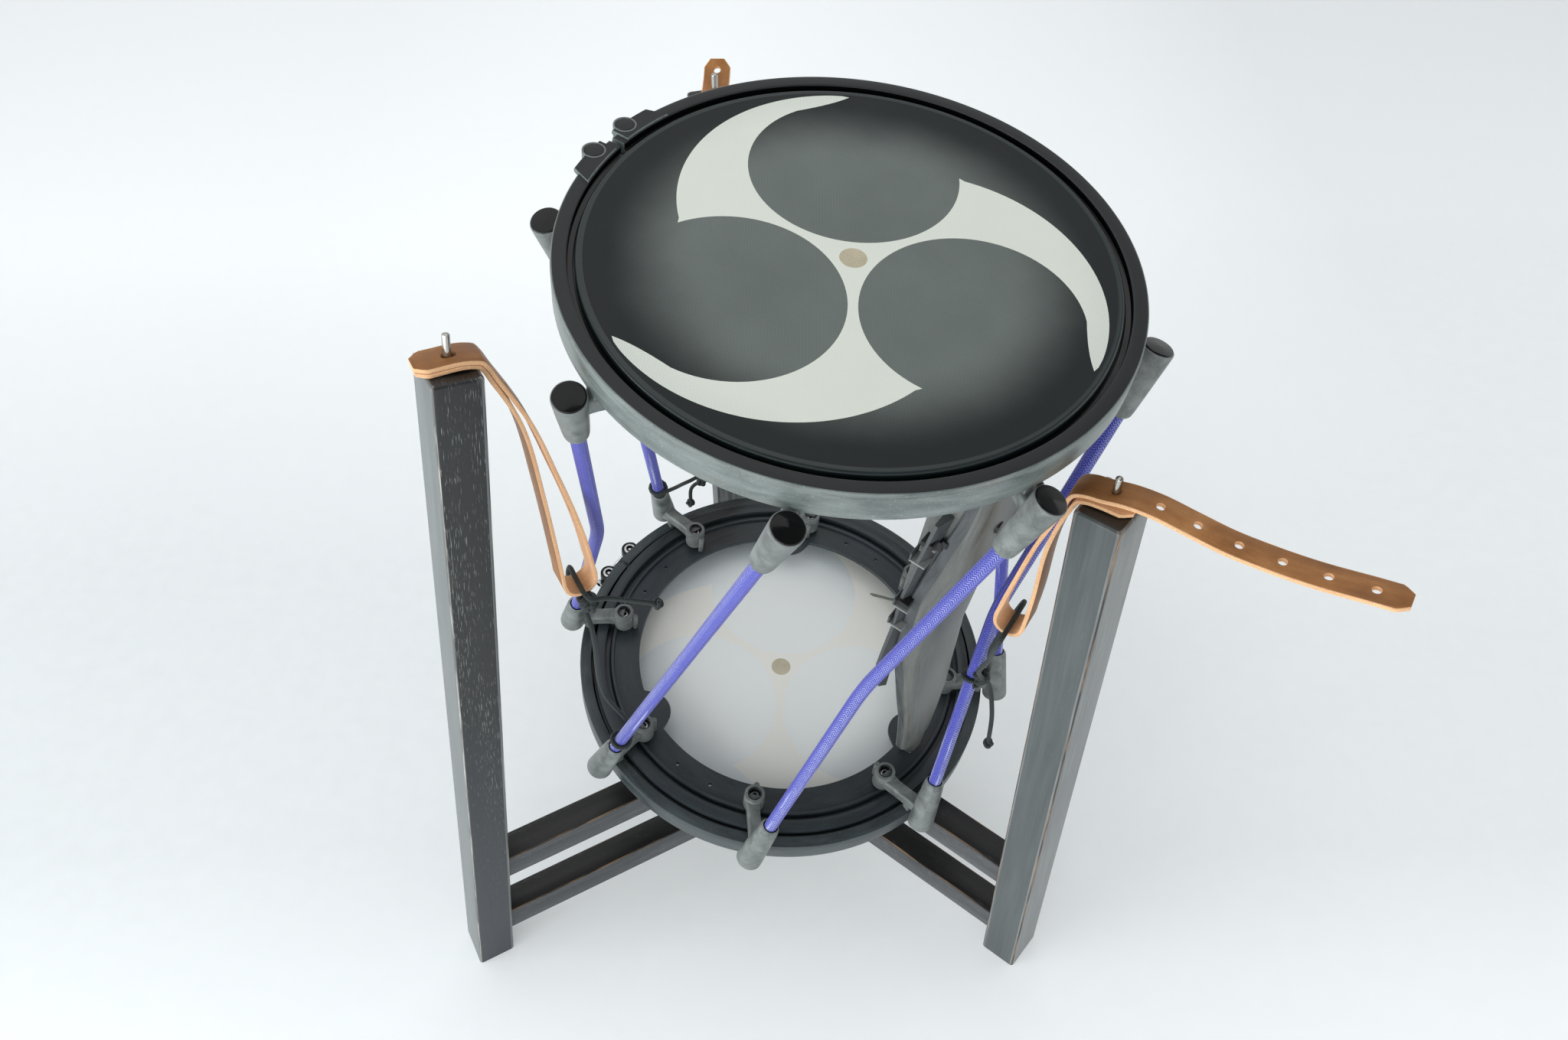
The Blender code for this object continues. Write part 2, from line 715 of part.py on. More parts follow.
def rod_path():
    """Centre line of a rod in the frame of its lower lug, kinked at half height."""
    axis = (rod_bend() - socket_foot()).normalized()
    start = socket_foot() + axis * (socket_length - socket_bore_depth + seat_gap)
    bend = rod_bend()
    to_upper = spin(2 * pi / lug_count) @ flip()
    upper_axis = ((to_upper @ socket_foot()) - bend).normalized()
    end = to_upper @ start
    before = bend - axis * rod_bend_run
    after = bend + upper_axis * rod_bend_run
    corner = []
    for i in range(rod_bend_steps + 1):
        t = i / rod_bend_steps
        corner.append((1 - t) ** 2 * before + 2 * t * (1 - t) * bend + t ** 2 * after)
    return [start, *corner, end]


def make_lugs_and_rods(metal, sleeve, parent):
    lug = lug_mesh()
    for number in range(lug_count):
        turn = spin(lug_azimuth(number))
        place("lower_lug_%d" % (number + 1), lug, metal, turn, parent)
        place("upper_lug_%d" % (number + 1), lug, metal, turn @ flip(), parent)
        rod = add_tube("tension_rod_%d" % (number + 1), rod_path(), rod_radius, sleeve, parent)
        rod.matrix_local = turn


def make_sensors(material, parent):
    low = drum_height - plate_depth + seat_gap
    high = drum_height - head_depth - head_thickness - seat_gap
    outline = [(0, low), (sensor_radius, low), (sensor_radius, low + sensor_foot), (sensor_tip_radius, high),
               (0, high)]
    for number, azimuth in enumerate(sensor_azimuths):
        name = "head_sensor_%d" % (number + 1)
        sensor = turned_solid(outline, name, sensor_steps)
        place(name, sensor, material, spin(azimuth) @ Matrix.Translation((sensor_centre_radius, 0, 0)), parent)


def module_section(back, front, half_width, height):
    """A plan section of the module whose front follows the drum's round side."""
    curve = module_front_curve
    points = [(back, half_width, height), (back, -half_width, height)]
    for i in range(module_steps + 1):
        y = half_width * (2 * i / module_steps - 1)
        points.append((front - curve + sqrt(curve * curve - y * y), y, height))
    return points


def module_floor():
    return plate_depth + plate_thickness + seat_gap


def module_levels(low_sections, high_sections):
    """Heights in the drum's frame with the back, front and half width of the section there."""
    floor = module_floor()
    ceiling = drum_height - floor
    levels = []
    for height, back, front, half in low_sections:
        levels.append((floor + height, rib_radius - back, rib_radius - front, half))
    for depth, back, front, half in high_sections:
        levels.append((ceiling - depth, rib_radius - back, rib_radius - front, half))
    return levels


def module_front_at(levels, height, offset):
    """Where the module's curved front lies at a height and a side offset."""
    for (z0, _, f0, _), (z1, _, f1, _) in zip(levels, levels[1:]):
        if z0 <= height <= z1:
            front = f0 + (f1 - f0) * (height - z0) / (z1 - z0)
            break
    curve = module_front_curve
    return front - curve + sqrt(curve * curve - offset * offset)


def make_module(shell, cover_material, battery_material, knob_material, parent):
    levels = module_levels(module_low_sections, module_high_sections)
    housing = lofted([module_section(back, front, half, z) for z, back, front, half in levels], "module_housing")
    floor = module_floor()
    ceiling = drum_height - floor
    bay_low, bay_high = floor + battery_bay_low, floor + battery_bay_high
    bay_back = levels[4][1]
    bay = block((bay_back - battery_bay_depth, bay_back + battery_bay_depth),
                (-battery_bay_half_width, battery_bay_half_width), (bay_low, bay_high), "bay")
    frame = spin(module_azimuth)
    cutters = [bay]
    volume_height = ceiling - volume_knob_depth
    spots = {"volume_knob": (knob_offset, volume_height), "tone_knob": (knob_offset, volume_height - knob_spacing),
             "power_button": (-knob_offset, ceiling - button_depth)}
    for name, (offset, height) in spots.items():
        front = module_front_at(levels, height, abs(offset))
        forward = Matrix.Translation((front, offset, height)) @ Matrix.Rotation(pi / 2, 4, "Y")
        if name == "power_button":
            cutters.append(cylinder(button_radius + seat_gap, -button_well_depth, button_well_depth, "well",
                                    knob_steps, forward))
            low = -button_well_depth + button_travel + seat_gap
            outline = [(0, low), (button_radius, low), (button_radius, button_above), (0, button_above)]
        else:
            cutters.append(cylinder(spindle_radius + seat_gap, -spindle_length - seat_gap, spindle_length, "hole",
                                    lug_steps, forward))
            outline = [(0, -spindle_length), (spindle_radius, -spindle_length), (spindle_radius, knob_base),
                       (knob_radius, knob_base), (knob_radius * knob_taper, knob_base + knob_height),
                       (0, knob_base + knob_height)]
        piece = turned_solid(outline, name, knob_steps)
        place(name, piece, knob_material, frame @ forward, parent)
    place("module_housing", combine(housing, removed=cutters), shell, frame, parent)
    sections = []
    for z, back, front, half in module_levels(cover_low_sections, cover_high_sections):
        x = front - seat_gap
        sections.append([(x, half, z), (back + cover_side, half, z), (back, half - cover_slope, z),
                         (back, -half + cover_slope, z), (back + cover_side, -half, z), (x, -half, z)])
    place("battery_cover", lofted(sections, "battery_cover"), cover_material, frame, parent)
    pitch = 2 * battery_bay_half_width / battery_count
    cell_radius = pitch / 2 - seat_gap
    cells = []
    middle = bay_back + battery_bay_depth - cell_radius - 2 * seat_gap
    for i in range(battery_count):
        y = (i - (battery_count - 1) / 2) * pitch
        cells.append(cylinder(cell_radius, bay_low + battery_end_gap, bay_high - battery_end_gap, "cell",
                              battery_steps, Matrix.Translation((middle, y, 0))))
    tray_half = battery_bay_half_width - seat_gap
    tray = block((middle - battery_tray_half, middle + battery_tray_half), (-tray_half, tray_half),
                 (bay_low + seat_gap, bay_high - seat_gap), "battery_tray")
    place("battery_tray", combine(tray, added=cells), battery_material, frame, parent)


def strap_frame(side):
    return Matrix.Translation(spin(leg_places[side][0]) @ leg_top(side)) @ spin(strap_azimuths[side])


def strap_line(side, spacing):
    """Middle line of the folded strap, from the lower layer's free end round the eye to the upper one's."""
    axis = leg_axis(side)
    outward = Vector((axis.z, 0, -axis.x))
    corner = (leg_edge - leg_depth / 2) * outward - leg_edge * axis
    corner.x -= strap_bend_shift[side]
    near = leg_edge + seat_gap + strap_thickness / 2
    far = near + strap_thickness + layer_gap + strap_bend_lift[side]
    layers = []
    for tails, reach in ((lower_tails, near), (upper_tails, far)):
        line = [Vector((x, 0, z)) for x, z in tails[side]]
        for turn in (radians(100), radians(135), radians(168)):
            line.append(corner + reach * Vector((cos(turn), 0, sin(turn))))
        layers.append(line)
    top = 0.5 * (layers[0][-1] + layers[1][-1])
    falling = [Vector((x, 0, z)) for x, z in strap_falls[side]]
    middle = smooth_path([top, *falling], strap_step)[1:]
    half_start = (strap_thickness + layer_gap) / 2
    eye = strap_eyes[side]
    total = path_length(middle)
    done = 0.0
    near_side, far_side = [], []
    for i, point in enumerate(middle):
        if i:
            done += (point - middle[i - 1]).length
        run = (middle[min(i + 1, len(middle) - 1)] - middle[max(i - 1, 0)]).normalized()
        normal = Vector((-run.z, 0, run.x))
        opening = half_start + (eye - half_start) * smooth_ratio(done / total)
        near_side.append(point + normal * opening)
        far_side.append(point - normal * opening)
    run = (middle[-1] - middle[-2]).normalized()
    across = Vector((-run.z, 0, run.x))
    turn = [middle[-1] + eye * (cos(a) * across + sin(a) * run) for a in (radians(30 * k) for k in range(1, 6))]
    return smooth_path([*layers[0], *near_side, *turn, *far_side[::-1], *layers[1][::-1]], spacing)


def path_length(path):
    return sum((b - a).length for a, b in zip(path, path[1:]))


def pin_slot(side):
    """Upright slot as long as the pin leans, so that the strap can be lifted straight off it."""
    lean = spin(leg_places[side][0] - strap_azimuths[side]) @ leg_axis(side)
    length = pin_above_leg * lean.xy.length / lean.z
    radius = strap_hole_radius + seat_gap
    outline = []
    for k in range(2 * lug_steps):
        a = 2 * pi * (k + 0.5) / (2 * lug_steps)
        outline.append((radius * cos(a) + (length if cos(a) > 0 else 0.0), radius * sin(a)))
    return prism(outline, -leg_edge, pin_above_leg, "pin_slot", spin(atan2(lean.y, lean.x)))


def make_strap(side, material, parent):
    """A band folded in two, both layers on the pin, with an eye in its lower end."""
    line = strap_line(side, strap_step)
    normals = []
    reach = [0.0]
    for i, point in enumerate(line):
        run = (line[min(i + 1, len(line) - 1)] - line[max(i - 1, 0)]).normalized()
        normals.append(Vector((-run.z, 0, run.x)))
        if i:
            reach.append(reach[-1] + (point - line[i - 1]).length)
    total = reach[-1]
    sections = []
    for point, normal, done in zip(line, normals, reach):
        short = max(0.0, strap_clip - min(done, total - done))
        half = strap_width / 2 - short * strap_clip_share
        thick = normal * strap_thickness / 2
        sections.append([point + thick + Vector((0, half, 0)), point + thick - Vector((0, half, 0)),
                         point - thick - Vector((0, half, 0)), point - thick + Vector((0, half, 0))])
    strap = lofted(sections, "strap_" + side)
    cutters = [pin_slot(side)]
    upper_half = [i for i in range(len(line)) if reach[i] > total / 2]
    pin_at = min(upper_half, key=lambda i: abs(line[i].x) + abs(line[i].z))
    pin_reach = reach[pin_at] + line[pin_at].x
    for step in strap_hole_numbers:
        want = pin_reach - step * strap_hole_pitch
        if total / 2 + 2 * strap_hole_pitch < want < total - strap_clip:
            after = next(i for i in range(len(line)) if reach[i] > want)
            share = (want - reach[after - 1]) / (reach[after] - reach[after - 1])
            spot = line[after - 1].lerp(line[after], share)
            turn = normals[after].to_track_quat("Z", "Y").to_matrix().to_4x4()
            cutters.append(cylinder(strap_hole_radius, -0.75 * strap_thickness, 0.75 * strap_thickness, "hole",
                                    strap_hole_steps, Matrix.Translation(spot) @ turn))
    place("strap_" + side, combine(strap, removed=cutters), material, strap_frame(side), parent)


def make_cord(side, material, parent, drum_matrix):
    """A cord wound round a rod, led through a strap's eye and left with a free end."""
    number, height, start = cord_wraps[side]
    collar = drum_matrix @ spin(lug_azimuth(number - 1)) @ socket_frame()
    reach = rod_radius + cord_radius + seat_gap
    wound = []
    for i in range(cord_wrap_steps + 1):
        t = i / cord_wrap_steps
        a = start + 2 * pi * cord_wrap_turns * t
        wound.append(collar @ Vector((reach * cos(a), reach * sin(a), height + cord_wrap_rise * t)))
    x, z = strap_falls[side][-1]
    low = z - strap_eyes[side] + strap_thickness / 2 + cord_radius + seat_gap
    outer = strap_width / 2 + cord_overhang
    inner = strap_width / 2 - cord_overhang
    eye = [strap_frame(side) @ Vector((x, y, low)) for y in (outer, inner, 0, -inner, -outer)]
    last = Vector(cord_before_eye[side][-1])
    if (eye[0] - last).length > (eye[-1] - last).length:
        eye = eye[::-1]
    route = smooth_path([*wound, *cord_before_eye[side], *eye, *cord_after_eye[side]], cord_step)
    add_tube("tie_cord_" + side, route, cord_radius, material, parent)


def centre_on_origin(frame):
    """Move everything so that the middle of the footprint is the origin."""
    view = bpy.context.evaluated_depsgraph_get()
    view.update()
    xs, ys = [], []
    for item in bpy.data.objects:
        if item.type in {"MESH", "CURVE"}:
            shown = item.evaluated_get(view)
            mesh = shown.to_mesh()
            for vertex in mesh.vertices:
                spot = shown.matrix_world @ vertex.co
                xs.append(spot.x)
                ys.append(spot.y)
            shown.to_mesh_clear()
    frame.location = (-(min(xs) + max(xs)) / 2, -(min(ys) + max(ys)) / 2, 0)


def main():
    clear_scene()
    timber = make_material("stained_timber", (0.10, 0.075, 0.055), 0.6)
    steel = make_material("steel", (0.60, 0.60, 0.60), 0.35, 1.0)
    cast = make_material("cast_grey", (0.30, 0.31, 0.32), 0.45, 0.6)
    black = make_material("black_plastic", (0.02, 0.02, 0.022), 0.5)
    dark = make_material("dark_hoop", (0.05, 0.05, 0.055), 0.5)
    sleeve = make_material("blue_sleeve", (0.03, 0.12, 0.55), 0.7)
    mesh_head = make_material("mesh_head", (0.10, 0.11, 0.13), 0.8)
    leather = make_material("tan_leather", (0.55, 0.33, 0.19), 0.65)
    rope = make_material("dark_cord", (0.02, 0.03, 0.028), 0.85)
    foam = make_material("foam", (0.03, 0.03, 0.03), 0.95)

    everything = make_empty("taiko_frame", Matrix())
    stand = make_empty("stand_frame", Matrix(), everything)
    for side in leg_places:
        make_leg(side, timber, steel, stand)
        make_rail("upper_rail_" + side, side, upper_rail_top, timber, stand)
        make_rail("lower_rail_" + side, side, lower_rail_top, timber, stand)
    lean_axis = Vector((-sin(drum_lean_azimuth), cos(drum_lean_azimuth), 0))
    foot_height = upper_rail_top + hoop_radius * sin(drum_lean) + drum_rest_gap
    drum_matrix = (Matrix.Translation((drum_foot_x, drum_foot_y, foot_height))
                   @ Matrix.Rotation(drum_lean, 4, lean_axis))
    drum = make_empty("drum_frame", drum_matrix, everything)
    for name, matrix in (("lower", Matrix()), ("upper", flip())):
        mirror = matrix
        if name == "upper":
            mirror = flip() @ spin(-2 * split_azimuth)
        make_hoop(name + "_hoop", dark, steel, mirror, drum)
        make_head(name + "_head", mesh_head, matrix, drum)
        make_ring(name + "_ring", cast, matrix, drum)
    make_lugs_and_rods(cast, sleeve, drum)
    make_sensors(foam, drum)
    make_module(black, black, foam, black, drum)
    for side in leg_places:
        make_strap(side, leather, everything)
        make_cord(side, rope, everything, drum_matrix)
    centre_on_origin(everything)


main()
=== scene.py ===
"""Looks of the electronic taiko drum on its three-legged timber stand.

Metres, +Z up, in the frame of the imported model. Drum pieces are made in the
drum's own frame, whose Z runs along its axis from the outer face of the lower hoop.
"""
import random
from math import atan2, cos, floor, pi, radians, sin, sqrt, tan

import bmesh
import bpy
from mathutils import Matrix, Vector
from mathutils.geometry import delaunay_2d_cdt


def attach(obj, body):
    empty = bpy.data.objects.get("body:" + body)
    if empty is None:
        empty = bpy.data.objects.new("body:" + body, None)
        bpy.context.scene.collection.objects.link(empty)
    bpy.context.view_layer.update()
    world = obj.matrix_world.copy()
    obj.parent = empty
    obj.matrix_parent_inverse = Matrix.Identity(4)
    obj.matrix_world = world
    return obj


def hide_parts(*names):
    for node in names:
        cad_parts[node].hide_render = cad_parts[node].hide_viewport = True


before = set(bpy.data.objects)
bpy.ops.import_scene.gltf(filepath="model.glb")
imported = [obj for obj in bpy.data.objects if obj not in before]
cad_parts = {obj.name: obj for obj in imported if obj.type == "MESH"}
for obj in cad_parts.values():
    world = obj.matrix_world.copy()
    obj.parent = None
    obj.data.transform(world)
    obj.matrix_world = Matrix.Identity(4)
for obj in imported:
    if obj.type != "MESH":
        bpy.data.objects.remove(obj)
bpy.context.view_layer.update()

random.seed(7)

# Shift of the stand's own origin to the middle of the footprint
stand_shift = Vector((-0.01892, -0.02685, 0.0))

# Clearances
seat_gap = 0.0003
layer_gap = 0.0004

# Stand timber
leg_depth = 0.036
leg_width = 0.0435
leg_edge = 0.003
rail_width = 0.0279
rail_height = 0.030
rail_tops = {"upper": 0.1507, "lower": 0.057}
pin_radius = 0.00275
pin_above_leg = 0.025
leg_places = {
    "left": (radians(209.0), 0.362, 0.249, 0.727),
    "right": (radians(321.0), 0.281, 0.279, 0.647),
    "back": (radians(104.2), 0.318, 0.250, 0.711),
}

# Drum body
drum_height = 0.565
drum_lean = radians(9.11)
drum_lean_azimuth = radians(-46.05)
drum_foot = Vector((-0.0143, 0.0337, 0.1507 + 0.205 * sin(drum_lean) + 0.0004))
hoop_radius = 0.205
hoop_height = 0.025
hoop_inner_radius = 0.1938
hoop_lip_radius = 0.190
split_azimuth = radians(149.0)
split_half_angle = radians(0.6)
barrel_radius = 0.0088
barrel_half_angle = radians(5.1)
bolt_line_radius = 0.2095
head_radius = 0.186
head_depth = 0.0008
head_thickness = 0.0018
ring_bore_radius = 0.146
ring_wall_radius = 0.180
ring_flange_radius = 0.1906
ring_flange_depth = 0.030
plate_depth = 0.021
plate_thickness = 0.004
rib_radius = 0.171
lobe_radius = 0.022
lobe_centre_radius = 0.150
lobe_azimuths = [radians(88.5), radians(208.5), radians(328.5)]

# Head sensors
sensor_centre_radius = 0.1615
sensor_azimuths = [radians(91.0), radians(204.0), radians(332.0)]

# Lugs and rods
lug_count = 8
first_lug_azimuth = radians(36.0)
boss_centre_radius = 0.166
boss_radius = 0.010
boss_top = 0.050
arm_low = 0.0312
arm_high = 0.047
arm_half_width = 0.0062
claw_radius = 0.1995
socket_foot_radius = 0.2189
socket_foot_angle = radians(1.5)
socket_foot_height = 0.0238
socket_length = 0.060
socket_radius = 0.0108
socket_cap_radius = 0.0116
socket_cap_length = 0.009
rod_radius = 0.00575
rod_bend_radius = 0.182
rod_bend_run = 0.020

# Sound module
module_azimuth = radians(325.0)
module_front_curve = 0.170
knob_radius = 0.0085
knob_height = 0.006
knob_offset = 0.026

# Straps and cords
strap_width = 0.0225
strap_thickness = 0.0032
strap_clip = 0.007
strap_hole_radius = 0.0031
strap_hole_pitch = 0.0275

drum_matrix = (Matrix.Translation(drum_foot + stand_shift)
               @ Matrix.Rotation(drum_lean, 4, Vector((-sin(drum_lean_azimuth), cos(drum_lean_azimuth), 0))))


def spin(azimuth):
    return Matrix.Rotation(azimuth, 4, "Z")


def flip():
    """Turns a piece of the lower drum end into the matching piece of the upper end."""
    return Matrix.Translation((0, 0, drum_height)) @ Matrix.Rotation(pi, 4, "X")


def smooth_ratio(t):
    t = min(max(t, 0.0), 1.0)
    return t * t * (3.0 - 2.0 * t)


def smooth_path(points, spacing):
    """Points about a spacing apart on a smooth curve through the given points."""
    points = [Vector(p) for p in points]
    runs = [ahead - point for point, ahead in zip(points, points[1:])]
    slopes = [runs[0].normalized()]
    for run, after in zip(runs, runs[1:]):
        slopes.append((run.normalized() * after.length + after.normalized() * run.length)
                      / (run.length + after.length))
    slopes.append(runs[-1].normalized())
    path = [points[0]]
    for i, run in enumerate(runs):
        steps = max(1, round(run.length / spacing))
        for j in range(1, steps + 1):
            t = j / steps
            path.append(points[i] + run * smooth_ratio(t)
                        + run.length * t * (1 - t) * ((1 - t) * slopes[i] - t * slopes[i + 1]))
    return path


def path_length(path):
    return sum((b - a).length for a, b in zip(path, path[1:]))


# Camera
def make_camera():
    data = bpy.data.cameras.new("camera")
    data.sensor_fit = "HORIZONTAL"
    data.sensor_width = 36.0
    data.lens = 36.0 * 1669.15 / 2048
    camera = bpy.data.objects.new("camera", data)
    bpy.context.scene.collection.objects.link(camera)
    forward = Vector((-0.0208, 0.6815, -0.7316)).normalized()
    right = Vector((0.9998, 0.0102, -0.0189))
    right = (right - right.dot(forward) * forward).normalized()
    turn = Matrix((right, right.cross(forward), -forward)).transposed().to_4x4()
    camera.matrix_world = Matrix.Translation(Vector((0.01745, -0.75834, 1.25904)) + stand_shift) @ turn
    bpy.context.scene.camera = camera


make_camera()


# Mesh helpers
class Shape:
    """A mesh in the making, with a UV layer that holds lengths along and across in metres."""

    def __init__(self):
        self.bm = bmesh.new()
        self.lengths = self.bm.loops.layers.uv.new("lengths")

    def grid(self, rows, wrap=True, loop=False, paint=None, flat=False):
        """Skin rows of points. wrap closes each row and loop joins the last row to the first."""
        verts = [[self.bm.verts.new(p) for p in row] for row in rows]
        count = len(rows[0])
        middle = rows[len(rows) // 2]
        across = [0.0]
        for j in range(count):
            across.append(across[-1] + (Vector(middle[(j + 1) % count]) - Vector(middle[j])).length)
        along = [0.0]
        for i in range(len(rows)):
            ahead = rows[(i + 1) % len(rows)]
            step = sum((Vector(p) - Vector(q)).length for p, q in zip(rows[i], ahead)) / count
            along.append(along[-1] + step)
        for i in range(len(rows) if loop else len(rows) - 1):
            row, ahead = verts[i], verts[(i + 1) % len(rows)]
            for j in range(count if wrap else count - 1):
                k = (j + 1) % count
                face = self.bm.faces.new((row[j], row[k], ahead[k], ahead[j]))
                corners = ((along[i], across[j]), (along[i], across[j + 1]),
                           (along[i + 1], across[j + 1]), (along[i + 1], across[j]))
                for corner, place in zip(face.loops, corners):
                    corner[self.lengths].uv = place
                face.smooth = not flat
                if paint is not None:
                    face.material_index = paint[j % len(paint)]
        return verts

    def cap(self, ring, paint=0):
        face = self.bm.faces.new(ring)
        face.material_index = paint
        face.smooth = True
        return face

    def tube(self, path, radius, around=16, paint=0, ends=True):
        """A round tube along a path; radius is a number or a function of the share of the length."""
        rows = []
        total = path_length(path)
        done = 0.0
        side = None
        for i, point in enumerate(path):
            run = (path[min(i + 1, len(path) - 1)] - path[max(i - 1, 0)]).normalized()
            if side is None:
                side = run.orthogonal().normalized()
            side = (side - side.dot(run) * run).normalized()
            other = run.cross(side)
            if i:
                done += (path[i] - path[i - 1]).length
            size = radius(done / total) if callable(radius) else radius
            rows.append([point + size * (cos(2 * pi * k / around) * side + sin(2 * pi * k / around) * other)
                         for k in range(around)])
        verts = self.grid(rows, paint=[paint])
        if ends:
            self.cap(verts[0], paint)
            self.cap(verts[-1], paint)
        return verts

    def turned(self, outline, steps, matrix=Matrix(), start=None, end=None, closed=True, fill=False):
        """Turn an outline of (radius, height, paint) points about Z and place it."""
        whole = start is None
        if whole:
            angles = [2 * pi * i / steps for i in range(steps)]
        else:
            angles = [start + (end - start) * i / steps for i in range(steps + 1)]
        rows = [[matrix @ Vector((r * cos(a), r * sin(a), z)) for r, z, _ in outline] for a in angles]
        verts = self.grid(rows, wrap=closed, loop=whole, paint=[p for _, _, p in outline])
        if not whole:
            self.cap(verts[0], outline[0][2])
            self.cap(verts[-1], outline[0][2])
        if fill:
            self.cap([row[0] for row in verts], outline[0][2])
            self.cap([row[-1] for row in verts], outline[-1][2])
        return verts

    def mesh(self, name, materials, sharp=32.0):
        bmesh.ops.remove_doubles(self.bm, verts=self.bm.verts[:], dist=1e-6)
        bmesh.ops.recalc_face_normals(self.bm, faces=self.bm.faces[:])
        mesh = bpy.data.meshes.new(name)
        self.bm.to_mesh(mesh)
        self.bm.free()
        for material in materials:
            mesh.materials.append(material)
        mesh.set_sharp_from_angle(angle=radians(sharp))
        return mesh


def soften(points, closed=True, steps=4):
    """Round the corners of an outline of (x, y, corner radius, paint of the edge that follows) points."""
    result = []
    count = len(points)
    for i, (x, y, radius, paint) in enumerate(points):
        if radius <= 0 or (not closed and i in (0, count - 1)):
            result.append((x, y, paint))
            continue
        here = Vector((x, y))
        back = Vector(points[i - 1][:2]) - here
        ahead = Vector(points[(i + 1) % count][:2]) - here
        reach = min(radius, 0.48 * back.length, 0.48 * ahead.length)
        a = here + back.normalized() * reach
        b = here + ahead.normalized() * reach
        for k in range(steps + 1):
            t = k / steps
            spot = (1 - t) ** 2 * a + 2 * t * (1 - t) * here + t * t * b
            result.append((spot.x, spot.y, paint))
    return result


def rounded_rectangle(width, height, radius, steps=3):
    """Points of an upright rectangle with round corners, centred on the origin."""
    points = []
    for corner, (sx, sy) in enumerate(((1, 1), (-1, 1), (-1, -1), (1, -1))):
        for k in range(steps + 1):
            a = pi / 2 * (corner + k / steps)
            points.append((sx * (width / 2 - radius) + radius * cos(a), sy * (height / 2 - radius) + radius * sin(a)))
    return points


def add_piece(name, mesh, body, replaced=(), matrix=None):
    piece = bpy.data.objects.new(name, mesh)
    bpy.context.scene.collection.objects.link(piece)
    if matrix is not None:
        piece.matrix_world = matrix
    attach(piece, body)
    if replaced:
        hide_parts(*replaced)
    return piece


def cut(mesh, cutters, operation="DIFFERENCE"):
    """The mesh with the cutter meshes taken away or joined."""
    holder = bpy.data.objects.new("work_piece", mesh)
    bpy.context.scene.collection.objects.link(holder)
    helpers = []
    for cutter in cutters:
        helper = bpy.data.objects.new("work_tool", cutter)
        bpy.context.scene.collection.objects.link(helper)
        helpers.append(helper)
        step = holder.modifiers.new("step", "BOOLEAN")
        step.operation = operation
        step.object = helper
    view = bpy.context.evaluated_depsgraph_get()
    view.update()
    result = bpy.data.meshes.new_from_object(holder.evaluated_get(view))
    for item in [holder, *helpers]:
        bpy.data.objects.remove(item, do_unlink=True)
    result.set_sharp_from_angle(angle=radians(32.0))
    return result


# Finishes
def tone(red, green, blue):
    """Linear colour of an sRGB colour given from 0 to 255."""
    values = [c / 255 for c in (red, green, blue)]
    return tuple(c / 12.92 if c <= 0.04045 else ((c + 0.055) / 1.055) ** 2.4 for c in values)


